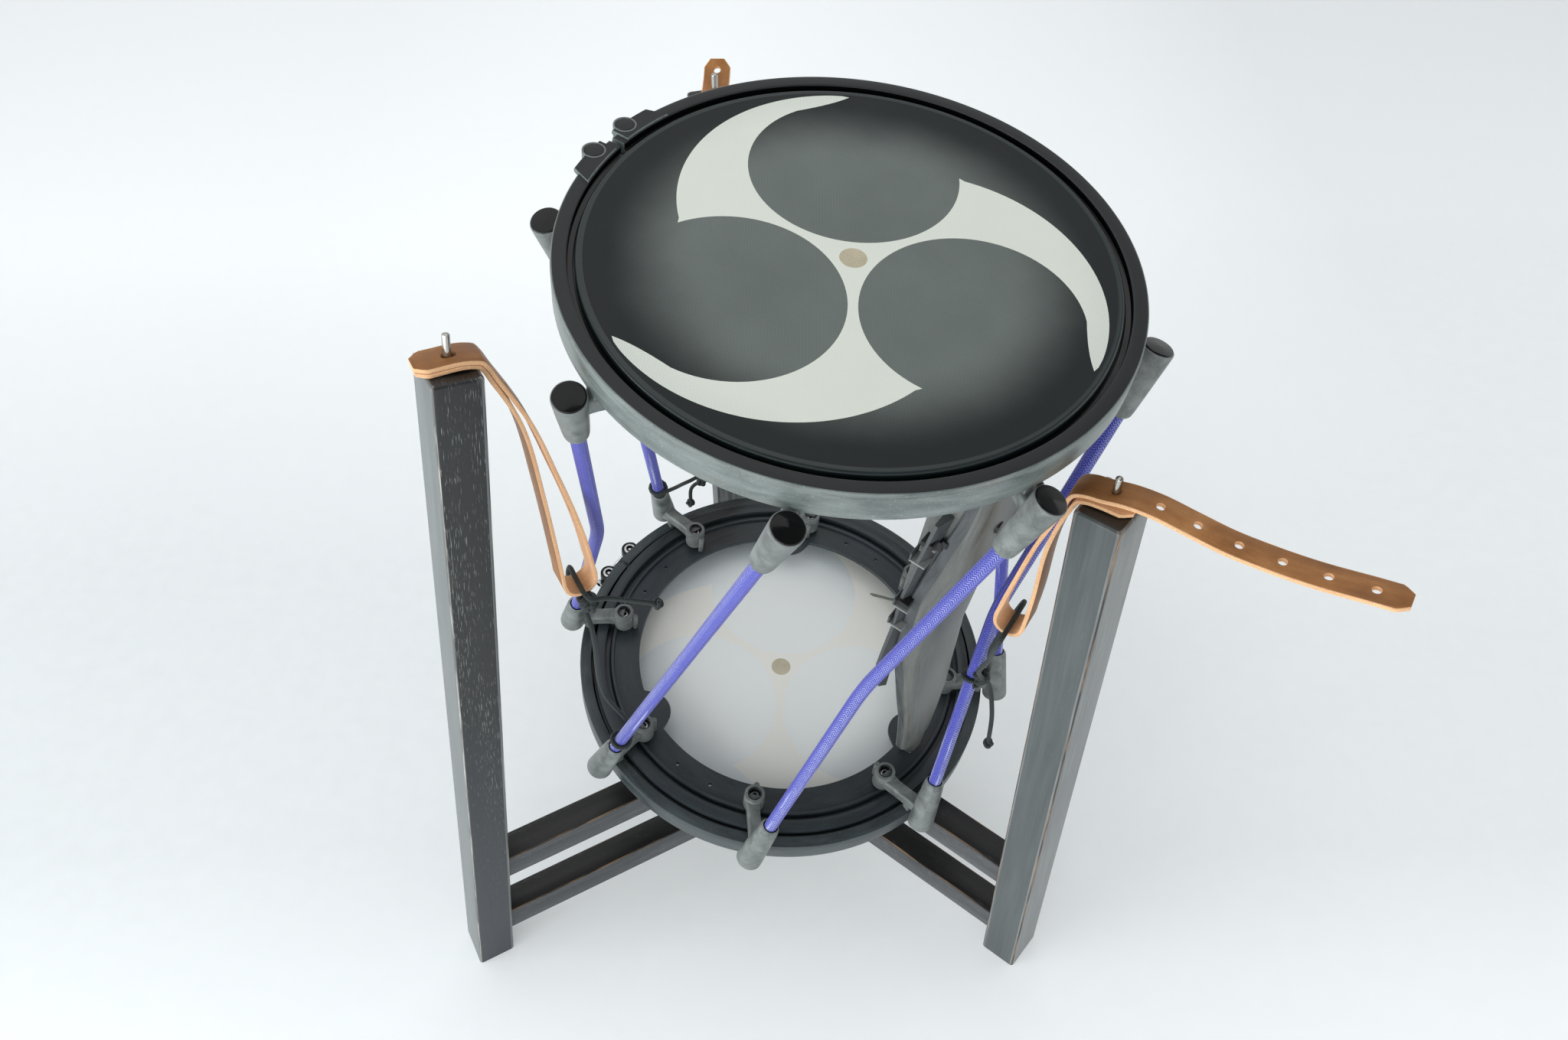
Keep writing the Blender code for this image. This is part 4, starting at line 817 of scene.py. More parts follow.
def make_strap(side):
    line = strap_line(side, 0.0025)
    normals = strap_normals(line)
    reach = [0.0]
    for a, b in zip(line, line[1:]):
        reach.append(reach[-1] + (b - a).length)
    total = reach[-1]
    shape = Shape()
    rows = []
    edge = 0.0006
    for point, normal, done in zip(line, normals, reach):
        end = min(done, total - done)
        half = strap_width / 2 - max(0.0, strap_clip - end) * 0.75
        wander = 0.00012 * sin(done * 90.0)
        row = []
        for y, x in rounded_rectangle(2 * half, strap_thickness, edge, 2):
            sag = 0.0004 * cos(pi * y / strap_width)
            row.append(point + Vector((0, y + wander, 0)) + normal * (x - sag))
        rows.append(row)
    count = len(rows[0])
    paint = []
    for j in range(count):
        y0 = rounded_rectangle(strap_width, strap_thickness, edge, 2)[j]
        y1 = rounded_rectangle(strap_width, strap_thickness, edge, 2)[(j + 1) % count]
        long_face = abs(y0[0] - y1[0]) > strap_width / 2
        if not long_face:
            paint.append(1)
        elif y0[1] > 0:
            paint.append(0)
        else:
            paint.append(1)
    verts = shape.grid(rows, paint=paint)
    shape.cap(verts[0], 1)
    shape.cap(verts[-1], 1)
    mesh = shape.mesh("strap_" + side, [grain_side, flesh_side], 40.0)
    cutters = [pin_slot(side)]
    pin_at = min((i for i in range(len(line)) if reach[i] > total / 2), key=lambda i: abs(line[i].x))
    for step in (-6, -5, -4, -3, -2, -1, 2, 3, 4, 5, 6, 7):
        want = reach[pin_at] - step * strap_hole_pitch
        if want > total - 0.010 or want < total / 2 + 0.035:
            continue
        nearest = min(range(len(line)), key=lambda i: abs(reach[i] - want))
        turn = normals[nearest].to_track_quat("Z", "Y").to_matrix().to_4x4()
        hole = Shape()
        hole.turned([(strap_hole_radius, -0.0024, 1), (strap_hole_radius, 0.0024, 1)], 22,
                    Matrix.Translation(line[nearest]) @ turn, closed=False, fill=True)
        cutters.append(hole.mesh("hole", [grain_side, flesh_side]))
    mesh = cut(mesh, cutters)
    add_piece("leather_strap_" + side, mesh, "drum", ["strap_" + side], strap_frame(side))


def socket_foot():
    a = socket_foot_angle
    return Vector((socket_foot_radius * cos(a), socket_foot_radius * sin(a), socket_foot_height))


def rod_bend():
    a = pi / lug_count
    return Vector((rod_bend_radius * cos(a), rod_bend_radius * sin(a), drum_height / 2))


def socket_frame():
    axis = (rod_bend() - socket_foot()).normalized()
    return Matrix.Translation(socket_foot()) @ axis.to_track_quat("Z", "X").to_matrix().to_4x4()


def lug_azimuth(number):
    return first_lug_azimuth + 2 * pi * (number - 1) / lug_count


def cord_points(side):
    """Given points of a cord: round its rod, through the strap's eye, then free to its end."""
    number, height, start = cord_wraps[side]
    collar = drum_matrix @ spin(lug_azimuth(number)) @ socket_frame()
    reach = rod_radius + cord_radius + seat_gap
    wound = []
    for i in range(cord_wrap_steps + 1):
        t = i / cord_wrap_steps
        a = start + 2 * pi * cord_wrap_turns * t
        wound.append(collar @ Vector((reach * cos(a), reach * sin(a), height + cord_wrap_rise * t)))
    x, z = strap_falls[side][-1]
    low = z - strap_eyes[side] + strap_thickness / 2 + cord_radius + seat_gap
    outer = strap_width / 2 + cord_overhang
    inner = strap_width / 2 - cord_overhang
    eye = [strap_frame(side) @ Vector((x, y, low)) for y in (outer, inner, 0, -inner, -outer)]
    before = [Vector(p) + stand_shift for p in cord_before_eye[side]]
    after = [Vector(p) + stand_shift for p in cord_after_eye[side]]
    if (eye[0] - before[-1]).length > (eye[-1] - before[-1]).length:
        eye = eye[::-1]
    return [*wound, *before, *eye, *after]


def lump(shape, centre, size, seed, paint=0):
    """A knot: a short thick cord wound twice about itself."""
    turn = Matrix.Rotation(seed, 3, "Z") @ Matrix.Rotation(seed * 0.7, 3, "X")
    points = []
    for i in range(25):
        a = 4 * pi * i / 24
        ring = size * (0.62 + 0.16 * cos(1.5 * a))
        points.append(centre + turn @ Vector((ring * cos(a), ring * sin(a), size * 0.55 * sin(1.5 * a))))
    shape.tube(smooth_path(points, 0.001), size * 0.46, 10, paint)


def make_cord(side):
    path = smooth_path(cord_points(side), 0.003)
    shape = Shape()
    shape.tube(path, cord_radius, 12)
    piece = add_piece("cord_" + side, shape.mesh("cord_" + side, [cord_dark]), "drum",
                      ["tie_cord_" + side])
    knots = Shape()
    lump(knots, path[-1], 0.0042, 1.0 + len(side))
    for place, size in knot_places[side]:
        lump(knots, Vector(place) + stand_shift, size, 2.0 + len(side) + size * 300)
    knot = add_piece("knot_" + side, knots.mesh("knot_" + side, [cord_dark]), "drum")


knot_places = {
    "left": [((-0.1632, -0.1045, 0.4640), 0.0070), ((-0.1600, -0.1075, 0.4600), 0.0055)],
    "right": [((0.1625, -0.1125, 0.368), 0.0065)],
    "back": [((-0.1030, 0.2395, 0.2525), 0.0055)],
}

for side_name in leg_places:
    make_cord(side_name)
    make_strap(side_name)


# Stand
def make_leg(side):
    azimuth, foot, _, _ = leg_places[side]
    axis = leg_axis(side)
    outward = Vector((axis.z, 0, -axis.x))
    top = leg_top(side)
    sections = rounded_rectangle(leg_depth, leg_width, leg_edge, 3)
    rows = []
    steps = 24
    for i in range(steps + 1):
        t = i / steps
        row = []
        for x, y in sections:
            low = Vector((foot + x, y, 0))
            high = top + outward * x + Vector((0, y, 0))
            row.append(low.lerp(high, t))
        rows.append(row)
    lip = 0.0022
    for k in (1, 2, 3):
        inset = lip * (1 - cos(pi / 2 * k / 3))
        rise = lip * (sin(pi / 2 * k / 3) - 1)
        row = []
        for x, y in sections:
            sx = x * (1 - inset / (leg_depth / 2))
            sy = y * (1 - inset / (leg_width / 2))
            row.append(top + outward * sx + Vector((0, sy, 0)) + axis * rise)
        if k == 1:
            rows[-1] = [top + outward * x + Vector((0, y, 0)) - axis * lip for x, y in sections]
        rows.append(row)
    shape = Shape()
    count = len(sections)
    paint = []
    for j in range(count):
        x0, y0 = sections[j]
        x1, y1 = sections[(j + 1) % count]
        if abs(x0 - x1) > leg_depth / 2:
            paint.append(1)
        elif abs(y0 - y1) > leg_width / 2:
            paint.append(0)
        else:
            paint.append((0, 2, 1)[j % 4] if j < 8 or j % 4 == 1 else 0)
    verts = shape.grid(rows, paint=paint)
    shape.cap(verts[0], 0)
    face = shape.cap(verts[-1], 3)
    for corner in face.loops:
        corner[shape.lengths].uv = (corner.vert.co.y, corner.vert.co.x)
    mesh = shape.mesh("leg_" + side, leg_finishes[side], 40.0)
    place = Matrix.Translation(stand_shift) @ spin(azimuth)
    add_piece("timber_leg_" + side, mesh, "stand", ["leg_" + side], place)
    pin = Shape()
    tip = pin_above_leg
    pin.turned([(0.00004, -0.01, 0), (pin_radius, -0.01, 0), (pin_radius, tip - 0.0016, 0),
                (pin_radius * 0.86, tip - 0.0007, 0), (pin_radius * 0.5, tip - 0.0001, 0), (0.00004, tip, 0)],
               24, closed=False, fill=True)
    turn = axis.to_track_quat("Z", "Y").to_matrix().to_4x4()
    add_piece("pin_" + side, pin.mesh("pin_" + side, [pin_steel]), "stand", ["strap_pin_" + side],
              place @ Matrix.Translation(top) @ turn)


def leg_radius_at(side, height):
    _, foot, top, leg_height = leg_places[side]
    return foot + (top - foot) * height / leg_height


def make_rail(level, side):
    azimuth = leg_places[side][0]
    top = rail_tops[level]
    turns = sorted((other[0] - azimuth) % (2 * pi) for key, other in leg_places.items() if key != side)
    ahead, behind = turns[0] / 2, (2 * pi - turns[1]) / 2
    edge = 0.0012
    section = rounded_rectangle(rail_width, rail_height, edge, 2)
    shape = Shape()
    rows = []
    middle = top - rail_height / 2
    steps = 10
    for i in range(steps + 1):
        row = []
        for y, z in section:
            mitre = seat_gap + (y / tan(ahead) if y > 0 else -y / tan(behind))
            outer = leg_radius_at(side, middle + z) - leg_depth / 2
            row.append(Vector((mitre + (outer - mitre) * i / steps, y, middle + z)))
        rows.append(row)
    count = len(section)
    paint = []
    for j in range(count):
        y0, z0 = section[j]
        y1, z1 = section[(j + 1) % count]
        if abs(y0 - y1) > rail_width / 2:
            paint.append(1)
        elif abs(z0 - z1) > rail_height / 2:
            paint.append(0)
        else:
            paint.append(2)
    verts = shape.grid(rows, paint=paint)
    shape.cap(verts[0], 0)
    shape.cap(verts[-1], 0)
    name = level + "_rail_" + side
    # Sides take the lighter painted reflection finish, top and bottom the dark one, the rounded edges the worn one.
    mesh = shape.mesh(name, [timber_rail, timber_top, timber_edge], 40.0)
    add_piece("timber_" + name, mesh, "stand", [name], Matrix.Translation(stand_shift) @ spin(azimuth))


for side_name in leg_places:
    make_leg(side_name)
    for level_name in rail_tops:
        make_rail(level_name, side_name)


# Hoops
def clamp_pad(shape, side):
    """A raised plate on the hoop's outer face beside its split, with a slanted far end."""
    near, far, slant, steps = radians(2.0), radians(12.0), radians(2.5), 10
    rows = []
    for inset, z in ((0.0, 0.0020), (0.0, -0.0007), (0.0005, -0.0012)):
        inner = []
        outer = []
        for i in range(steps + 1):
            t = i / steps
            edge = inset / hoop_radius
            low = near + edge
            a = split_azimuth + side * (low + (far + slant - edge - low) * t)
            b = split_azimuth + side * (low + (far - edge - low) * t)
            r, q = hoop_inner_radius + 0.0005 + inset, hoop_radius + 0.004 - inset
            inner.append(Vector((r * cos(a), r * sin(a), z)))
            outer.append(Vector((q * cos(b), q * sin(b), z)))
        rows.append(inner + outer[::-1])
    verts = shape.grid(rows, paint=[1], flat=True)
    shape.cap(verts[0], 1)
    top = shape.cap(verts[-1], 0)
    top.smooth = False


def make_hoop(name, matrix):
    top = hoop_height
    outline = soften([
        (hoop_radius - 0.0004, 0.0, 0.0010, 1), (hoop_radius - 0.0004, 0.0028, 0.0002, 2),
        (hoop_radius, 0.0032, 0.0002, 1), (hoop_radius, top, 0.0012, 1), (hoop_inner_radius, top, 0.0004, 3),
        (hoop_inner_radius, 0.009, 0, 3), (hoop_lip_radius, 0.009, 0.0003, 3), (hoop_lip_radius, 0.006, 0.0003, 3),
        (hoop_inner_radius, 0.006, 0.0006, 3), (hoop_inner_radius, 0.0006, 0.0005, 0),
        (hoop_inner_radius + 0.0008, 0.0, 0.0004, 0)], steps=2)
    shape = Shape()
    start = split_azimuth + split_half_angle
    shape.turned(outline, 200, start=start, end=start + 2 * pi - 2 * split_half_angle)
    along = bolt_line_radius * tan(barrel_half_angle)
    tangent = Vector((-sin(split_azimuth), cos(split_azimuth), 0))
    outward = Vector((cos(split_azimuth), sin(split_azimuth), 0))
    centre = outward * bolt_line_radius
    side_paint = 4 if name == "lower_hoop" else 1
    for sign in (-1, 1):
        spot = centre + outward * -0.004 + tangent * sign * along
        rise = -0.0016
        disc = soften([(0.00005, rise, 0, 0), (barrel_radius * 0.74, rise, 0.0002, 0),
                       (barrel_radius * 0.78, rise + 0.0007, 0.0002, 3),
                       (barrel_radius * 0.84, rise + 0.0007, 0.0002, 2),
                       (barrel_radius * 0.87, rise + 0.0001, 0.0002, 2),
                       (barrel_radius, rise + 0.0001, 0.0006, side_paint),
                       (barrel_radius, top - 0.0015, 0.0008, 4), (0.0061, top - 0.0015, 0, 5),
                       (0.0059, top - 0.0007, 0.0003, 5), (0.0036, top - 0.0007, 0.0003, 4),
                       (0.0034, top - 0.0030, 0, 4), (0.0018, top - 0.0030, 0, 5),
                       (0.0016, top - 0.0020, 0.0002, 5), (0.00005, top - 0.0020, 0, 5)], closed=False, steps=2)
        shape.turned(disc, 40, Matrix.Translation(spot), closed=False, fill=True)
        clamp_pad(shape, sign)
    # The lower hoop's sides take the painted shade copy.
    rim_finish = hoop_shaded_side if name == "lower_hoop" else hoop_side_resin_and_reflection
    mesh = shape.mesh(name, [hoop_face, rim_finish, hoop_line, gloss_black, screw_black, bright_steel])
    add_piece(name + "_shell", mesh, "drum", [name], drum_matrix @ matrix)
    bolt = Shape()
    frame_axis = Matrix((outward, tangent.cross(outward), tangent)).transposed().to_4x4()
    turn = Matrix.Translation(centre + Vector((0, 0, hoop_height / 2))) @ frame_axis
    inner = along + barrel_radius + seat_gap
    bolt.turned([(0.0025, -inner, 0), (0.0025, inner, 0)], 16, turn, closed=False)
    for sign in (-1, 1):
        head = soften([(0.0025, inner, 0, 0), (0.0046, inner, 0.0003, 0), (0.0046, inner + 0.0038, 0.0006, 0),
                       (0.0024, inner + 0.0038, 0.0002, 1), (0.0022, inner + 0.0014, 0, 1), (0.00005, inner + 0.0014, 0, 1)],
                      closed=False, steps=2)
        bolt.turned([(r, sign * z, p) for r, z, p in head], 24, turn, closed=False)
    add_piece(name + "_clamp_bolt", bolt.mesh(name + "_bolt", [bright_steel, screw_black]), "drum",
              [name + "_bolt"], drum_matrix @ matrix)


# Drum heads
def crest_outline():
    """Outline of the traditional three-comma crest, as shares of the hoop's radius."""
    disc_centre, disc_radius, disc_azimuth = 0.456, 0.378, radians(208.6)
    arc_centre, arc_radius, arc_azimuth = 0.271, 0.617, radians(87.7)
    points = []
    for k in range(3):
        turn = -2 * pi * k / 3
        cx, cy = disc_centre * cos(disc_azimuth), disc_centre * sin(disc_azimuth)
        third = []
        tip = Vector((0.88 * cos(radians(210)), 0.88 * sin(radians(210))))
        start, end = radians(243), radians(480.7)
        first = Vector((cx + disc_radius * cos(start), cy + disc_radius * sin(start)))
        bulge = 0.5 * (tip + first) + Vector((-0.022, 0.030))
        for i in range(8):
            t = i / 8
            third.append((1 - t) ** 2 * tip + 2 * t * (1 - t) * bulge + t * t * first)
        for i in range(60):
            a = start + (end - start) * i / 59
            third.append(Vector((cx + disc_radius * cos(a), cy + disc_radius * sin(a))))
        ax, ay = arc_centre * cos(arc_azimuth), arc_centre * sin(arc_azimuth)
        start, end = radians(195.5), radians(91.5)
        for i in range(1, 44):
            a = start + (end - start) * i / 44
            third.append(Vector((ax + arc_radius * cos(a), ay + arc_radius * sin(a))))
        for p in third:
            points.append((p.x * cos(turn) - p.y * sin(turn), p.x * sin(turn) + p.y * cos(turn)))
    return points


def inside(point, outline):
    x, y = point
    hit = False
    for (x0, y0), (x1, y1) in zip(outline, outline[1:] + outline[:1]):
        if (y0 > y) != (y1 > y) and x < (x1 - x0) * (y - y0) / (y1 - y0) + x0:
            hit = not hit
    return hit


flat_radius = 0.1815
rim_steps = 192


def head_face(shape, height, paints, upper):
    """The flat printed skin of a head, its crest and middle dot drawn in the mesh itself."""
    ground, print_paint, dot_paint = paints
    crest = [(x * hoop_radius, y * hoop_radius) for x, y in crest_outline()]
    if upper:
        crest = [(x, -y) for x, y in crest]
    else:
        turn = radians(57.6)
        crest = [(x * cos(turn) + y * sin(turn), x * sin(turn) - y * cos(turn)) for x, y in crest]
    dot = [(0.0098 * cos(2 * pi * i / 32), 0.0098 * sin(2 * pi * i / 32)) for i in range(32)]
    rim = [(flat_radius * cos(2 * pi * i / rim_steps), flat_radius * sin(2 * pi * i / rim_steps))
           for i in range(rim_steps)]
    inner_points = []
    for radius, steps in ((0.04, 20), (0.08, 40), (0.12, 60), (0.155, 80)):
        for i in range(steps):
            inner_points.append((radius * cos(2 * pi * i / steps), radius * sin(2 * pi * i / steps)))
    points, edges = [], []
    for ring in (rim, crest, dot):
        base = len(points)
        points += ring
        edges += [(base + i, base + (i + 1) % len(ring)) for i in range(len(ring))]
    points += inner_points
    verts, _, faces, _, _, _ = delaunay_2d_cdt([Vector(p) for p in points], edges, [], 0, 1e-7)
    made = [shape.bm.verts.new((p.x, p.y, height)) for p in verts]
    for face in faces:
        middle = sum((verts[i] for i in face), Vector((0, 0))) / len(face)
        if middle.length > flat_radius:
            continue
        skin = shape.bm.faces.new([made[i] for i in face])
        skin.smooth = True
        skin.material_index = ground
        if middle.length < 0.0098:
            skin.material_index = dot_paint
        elif inside(middle, crest):
            skin.material_index = print_paint


def make_head(name, matrix, upper):
    shape = Shape()
    low = head_depth
    deep = head_depth + head_thickness
    skirt = head_radius + 0.0029
    head_face(shape, low, (0, 1, 2), upper)
    head_face(shape, deep, (3, 4, 5), upper)
    outline = soften([(flat_radius, low, 0, 0), (0.1845, low, 0.0010, 6), (0.1868, 0.0004, 0.0012, 6),
                      (skirt, 0.0022, 0.0012, 6), (skirt, 0.0093, 0, 6), (0.1926, 0.0093, 0.0006, 6),
                      (0.1926, 0.0198, 0.0006, 6), (skirt - 0.0008, 0.0198, 0, 6), (skirt - 0.0008, deep, 0, 3),
                      (flat_radius, deep, 0, 3)], closed=False, steps=3)
    shape.turned(outline, rim_steps, closed=False)
    mesh = shape.mesh(name, [head_dark, head_white, head_dot, inner_pale, inner_cream, inner_dot, head_rim], 50.0)
    add_piece(name + "_skin", mesh, "drum", [name], drum_matrix @ matrix)


# Rings
def bore_at(azimuth):
    """Inner radius of the ring's plate, which three round lobes narrow."""
    best = ring_bore_radius
    for lobe in lobe_azimuths:
        turn = azimuth - lobe
        side = lobe_centre_radius * sin(turn)
        if abs(side) < lobe_radius and cos(turn) > 0:
            best = min(best, lobe_centre_radius * cos(turn) - sqrt(lobe_radius ** 2 - side ** 2))
    return best


def make_ring(name, matrix):
    top = plate_depth + plate_thickness
    edge = head_depth + head_thickness + seat_gap
    wall = ring_wall_radius
    steps = 240
    outer = soften([(wall, plate_depth, 0, 0), (wall, 2 * edge, 0, 0), (wall + 0.002, edge, 0.001, 0),
                    (0.1856, edge, 0.001, 0), (0.1876, 2 * edge, 0, 0), (0.1876, 0.0204, 0, 0),
                    (ring_flange_radius, 0.0204, 0, 0), (ring_flange_radius, ring_flange_depth, 0.0008, 0),
                    (wall, ring_flange_depth, 0.0008, 0), (wall, top - 0.002, 0, 0), (wall - 0.004, top - 0.002, 0, 0),
                    (rib_radius + 0.003, top + 0.003, 0.0005, 0), (rib_radius, top + 0.003, 0.0005, 0),
                    (rib_radius, top, 0, 0)], closed=False, steps=2)
    shape = Shape()
    rows = []
    for i in range(steps):
        a = 2 * pi * i / steps
        bore = bore_at(a)
        row = [(r, z) for r, z, _ in outer]
        row += [(bore + 0.0006, top), (bore, top - 0.0006), (bore, plate_depth + 0.0006), (bore + 0.0006, plate_depth)]
        rows.append([Vector((r * cos(a), r * sin(a), z)) for r, z in row])
    shape.grid(rows, loop=True)
    mesh = shape.mesh(name, [ring_resin])
    holes = []
    places = [(0.161, radians(58.5 + 90 * k + s * 6.7)) for k in range(4) for s in (-1, 1)]
    for radius, azimuth in places:
        hole = Shape()
        hole.turned([(0.002, plate_depth - 0.002, 0), (0.002, top + 0.002, 0)], 16,
                    Matrix.Translation((radius * cos(azimuth), radius * sin(azimuth), 0)), closed=False, fill=True)
        holes.append(hole.mesh("hole", [ring_resin]))
    mesh = cut(mesh, holes)
    add_piece(name + "_frame", mesh, "drum", [name], drum_matrix @ matrix)


# Lugs and rods
def lug_mesh():
    shape = Shape()
    base = plate_depth + plate_thickness + seat_gap
    over_rib = base + 0.003
    boss = Matrix.Translation((boss_centre_radius, 0, 0))
    shape.turned(soften([(0.0045, base, 0, 0), (0.0045, over_rib, 0, 0), (boss_radius, over_rib, 0.0008, 0),
                         (boss_radius - 0.0004, boss_top, 0.0010, 0), (0.0064, boss_top, 0.0003, 1),
                         (0.0055, boss_top - 0.0008, 0, 1), (0.0055, boss_top - 0.0056, 0, 2),
                         (0.0048, boss_top - 0.0048, 0.0004, 2), (0.0024, boss_top - 0.0042, 0.0003, 1),
                         (0.0020, boss_top - 0.0066, 0, 1), (0.00005, boss_top - 0.0066, 0, 1)],
                        closed=False, steps=2), 32, boss, closed=False)
    shape.turned(soften([(0.0027, base, 0, 0), (0.0027, 0.045, 0.0006, 0), (0.00005, 0.045, 0, 0)],
                        closed=False, steps=2), 16, Matrix.Translation((boss_centre_radius - 0.0115, 0, 0)),
                 closed=False)
    here = socket_frame()
    middle = (arm_low + arm_high) / 2
    axis = (rod_bend() - socket_foot()).normalized()
    target = socket_foot() + axis * ((middle - socket_foot_height) / axis.z)
    rows = []
    steps = 20
    section = rounded_rectangle(1.0, 1.0, 0.22, 4)
    for i in range(steps + 1):
        t = i / steps
        run = Vector((target.x - boss_centre_radius, target.y * 6 * t * (1 - t), 0)).normalized()
        side = Vector((-run.y, run.x, 0))
        point = Vector((boss_centre_radius + (target.x - boss_centre_radius) * t, target.y * smooth_ratio(t), middle))
        flare = 1.0 + 0.45 * (2 * t - 1) ** 4
        width = 2 * arm_half_width * flare
        height = (arm_high - arm_low) * (0.80 + 0.2 * (2 * t - 1) ** 2)
        rows.append([point + side * x * width + Vector((0, 0, z * height)) for x, z in section])
    verts = shape.grid(rows, paint=[0])
    shape.cap(verts[0])
    shape.cap(verts[-1])
    t = (claw_radius - boss_centre_radius) / (target.x - boss_centre_radius)
    claw_y = target.y * smooth_ratio(t)
    rows = []
    for z in (hoop_height + seat_gap, hoop_height + 0.001, arm_low + 0.003):
        grow = 0.0 if z < hoop_height + 0.0008 else 0.0004
        rows.append([Vector((claw_radius + x * (1 + grow), claw_y + y, z))
                     for x, y in rounded_rectangle(0.0076, 0.010, 0.001, 2)])
    verts = shape.grid(rows, paint=[0])
    shape.cap(verts[0])
    cap = socket_cap_length
    length = socket_length
    floor_height = length - 0.032
    outline = soften([
        (0.00005, -0.0008, 0, 3), (0.0108, -0.0004, 0.0010, 3), (0.0114, 0.0004, 0.0002, 3), (0.0115, 0.0007, 0.0001, 5),
        (0.0120, 0.0009, 0.0002, 5), (0.0122, 0.0016, 0.0003, 0), (0.0119, cap, 0.004, 0),
        (0.0096, 0.052, 0.004, 0), (0.0090, 0.0575, 0.003, 0),
        (rod_radius + 0.0009, length, 0.0009, 4), (rod_radius + 0.0003, length - 0.001, 0.0003, 4),
        (rod_radius + 0.0003, floor_height, 0, 4)], closed=False, steps=4)
    shape.turned(outline, 40, here, closed=False)
    return shape.mesh("lug", [lug_resin, screw_black, bright_steel, gloss_black, gloss_black, lug_rim], 36.0)


def rod_path():
    axis = (rod_bend() - socket_foot()).normalized()
    start = socket_foot() + axis * (socket_length - 0.032 + seat_gap)
    bend = rod_bend()
    to_upper = spin(2 * pi / lug_count) @ flip()
    upper_axis = ((to_upper @ socket_foot()) - bend).normalized()
    end = to_upper @ start
    before = bend - axis * rod_bend_run
    after = bend + upper_axis * rod_bend_run
    points = [start.lerp(before, i / 30) for i in range(30)]
    for i in range(13):
        t = i / 12
        points.append((1 - t) ** 2 * before + 2 * t * (1 - t) * bend + t * t * after)
    points += [after.lerp(end, i / 30) for i in range(1, 31)]
    return points


def rod_mesh():
    shape = Shape()
    shape.tube(rod_path(), rod_radius, 24)
    return shape.mesh("rod", [sleeve_blue])


# Sound module
def module_levels():
    """Height, back, front, half widths toward the left and right seen from outside."""
    low = plate_depth + plate_thickness + seat_gap
    high = drum_height - low
    return [(low, 0.150, 0.165, 0.012, 0.012, 0.85), (0.049, 0.150, 0.165, 0.013, 0.012, 0.85),
            (0.054, 0.151, 0.165, 0.024, 0.014, 0.85), (0.062, 0.151, 0.166, 0.032, 0.016, 0.85),
            (0.096, 0.149, 0.166, 0.036, 0.020, 0.85), (0.130, 0.147, 0.165, 0.042, 0.026, 0.9),
            (0.172, 0.142, 0.162, 0.050, 0.031, 1.0), (0.246, 0.1285, 0.159, 0.055, 0.033, 1.0),
            (0.325, 0.1285, 0.162, 0.054, 0.036, 1.0), (0.365, 0.134, 0.170, 0.052, 0.041, 0.85),
            (0.443, 0.146, 0.169, 0.051, 0.046, 0.85), (0.478, 0.150, 0.167, 0.048, 0.046, 0.85),
            (0.492, 0.152, 0.166, 0.020, 0.020, 0.85), (high, 0.152, 0.166, 0.020, 0.020, 0.85)]


def module_section(back, front, left, right, crown, height):
    """A plan section with a crowned front and a flat back."""
    edge = 0.0015
    depth = min(0.010, 0.4 * (front - back))
    points = [(back, right - edge), (back, edge - left), (back + edge, -left), (back + depth, -left)]
    for i in range(1, 24):
        a = -pi / 2 + pi * i / 24
        half, power = (-left, 0.85) if a < 0 else (right, crown)
        y = half * abs(sin(a)) ** power
        points.append((back + depth + (front - back - depth) * cos(a) ** power, y))
    points += [(back + depth, right), (back + edge, right)]
    return [Vector((x, y, height)) for x, y in points]


def module_front_at(height, offset):
    for (z0, _, f0, _, _, _), (z1, _, f1, _, _, _) in zip(module_levels(), module_levels()[1:]):
        if z0 <= height <= z1:
            front = f0 + (f1 - f0) * (height - z0) / (z1 - z0)
            break
    curve = module_front_curve
    return front - curve + sqrt(curve * curve - offset * offset)


def fine_levels():
    """The levels with more of them between, spaced evenly on straight runs from each given level to the next."""
    given = module_levels()
    levels = []
    for a, b in zip(given, given[1:]):
        steps = max(1, round((b[0] - a[0]) / 0.012))
        levels += [tuple(p + (q - p) * i / steps for p, q in zip(a, b)) for i in range(steps)]
    return levels + [given[-1]]


def bar(shape, x_range, y_range, z_range, paint=0, edge=0.0004):
    """A small box with softened edges."""
    (x0, x1), (y0, y1), (z0, z1) = x_range, y_range, z_range
    rows = []
    for z, inset in ((z0, edge), (z0 + edge, 0.0), (z1 - edge, 0.0), (z1, edge)):
        rows.append([Vector(((x0 + x1) / 2 + x, (y0 + y1) / 2 + y, z)) for x, y in
                     rounded_rectangle(x1 - x0 - 2 * inset, y1 - y0 - 2 * inset, edge, 2)])
    verts = shape.grid(rows, paint=[paint])
    shape.cap(verts[0], paint)
    shape.cap(verts[-1], paint)


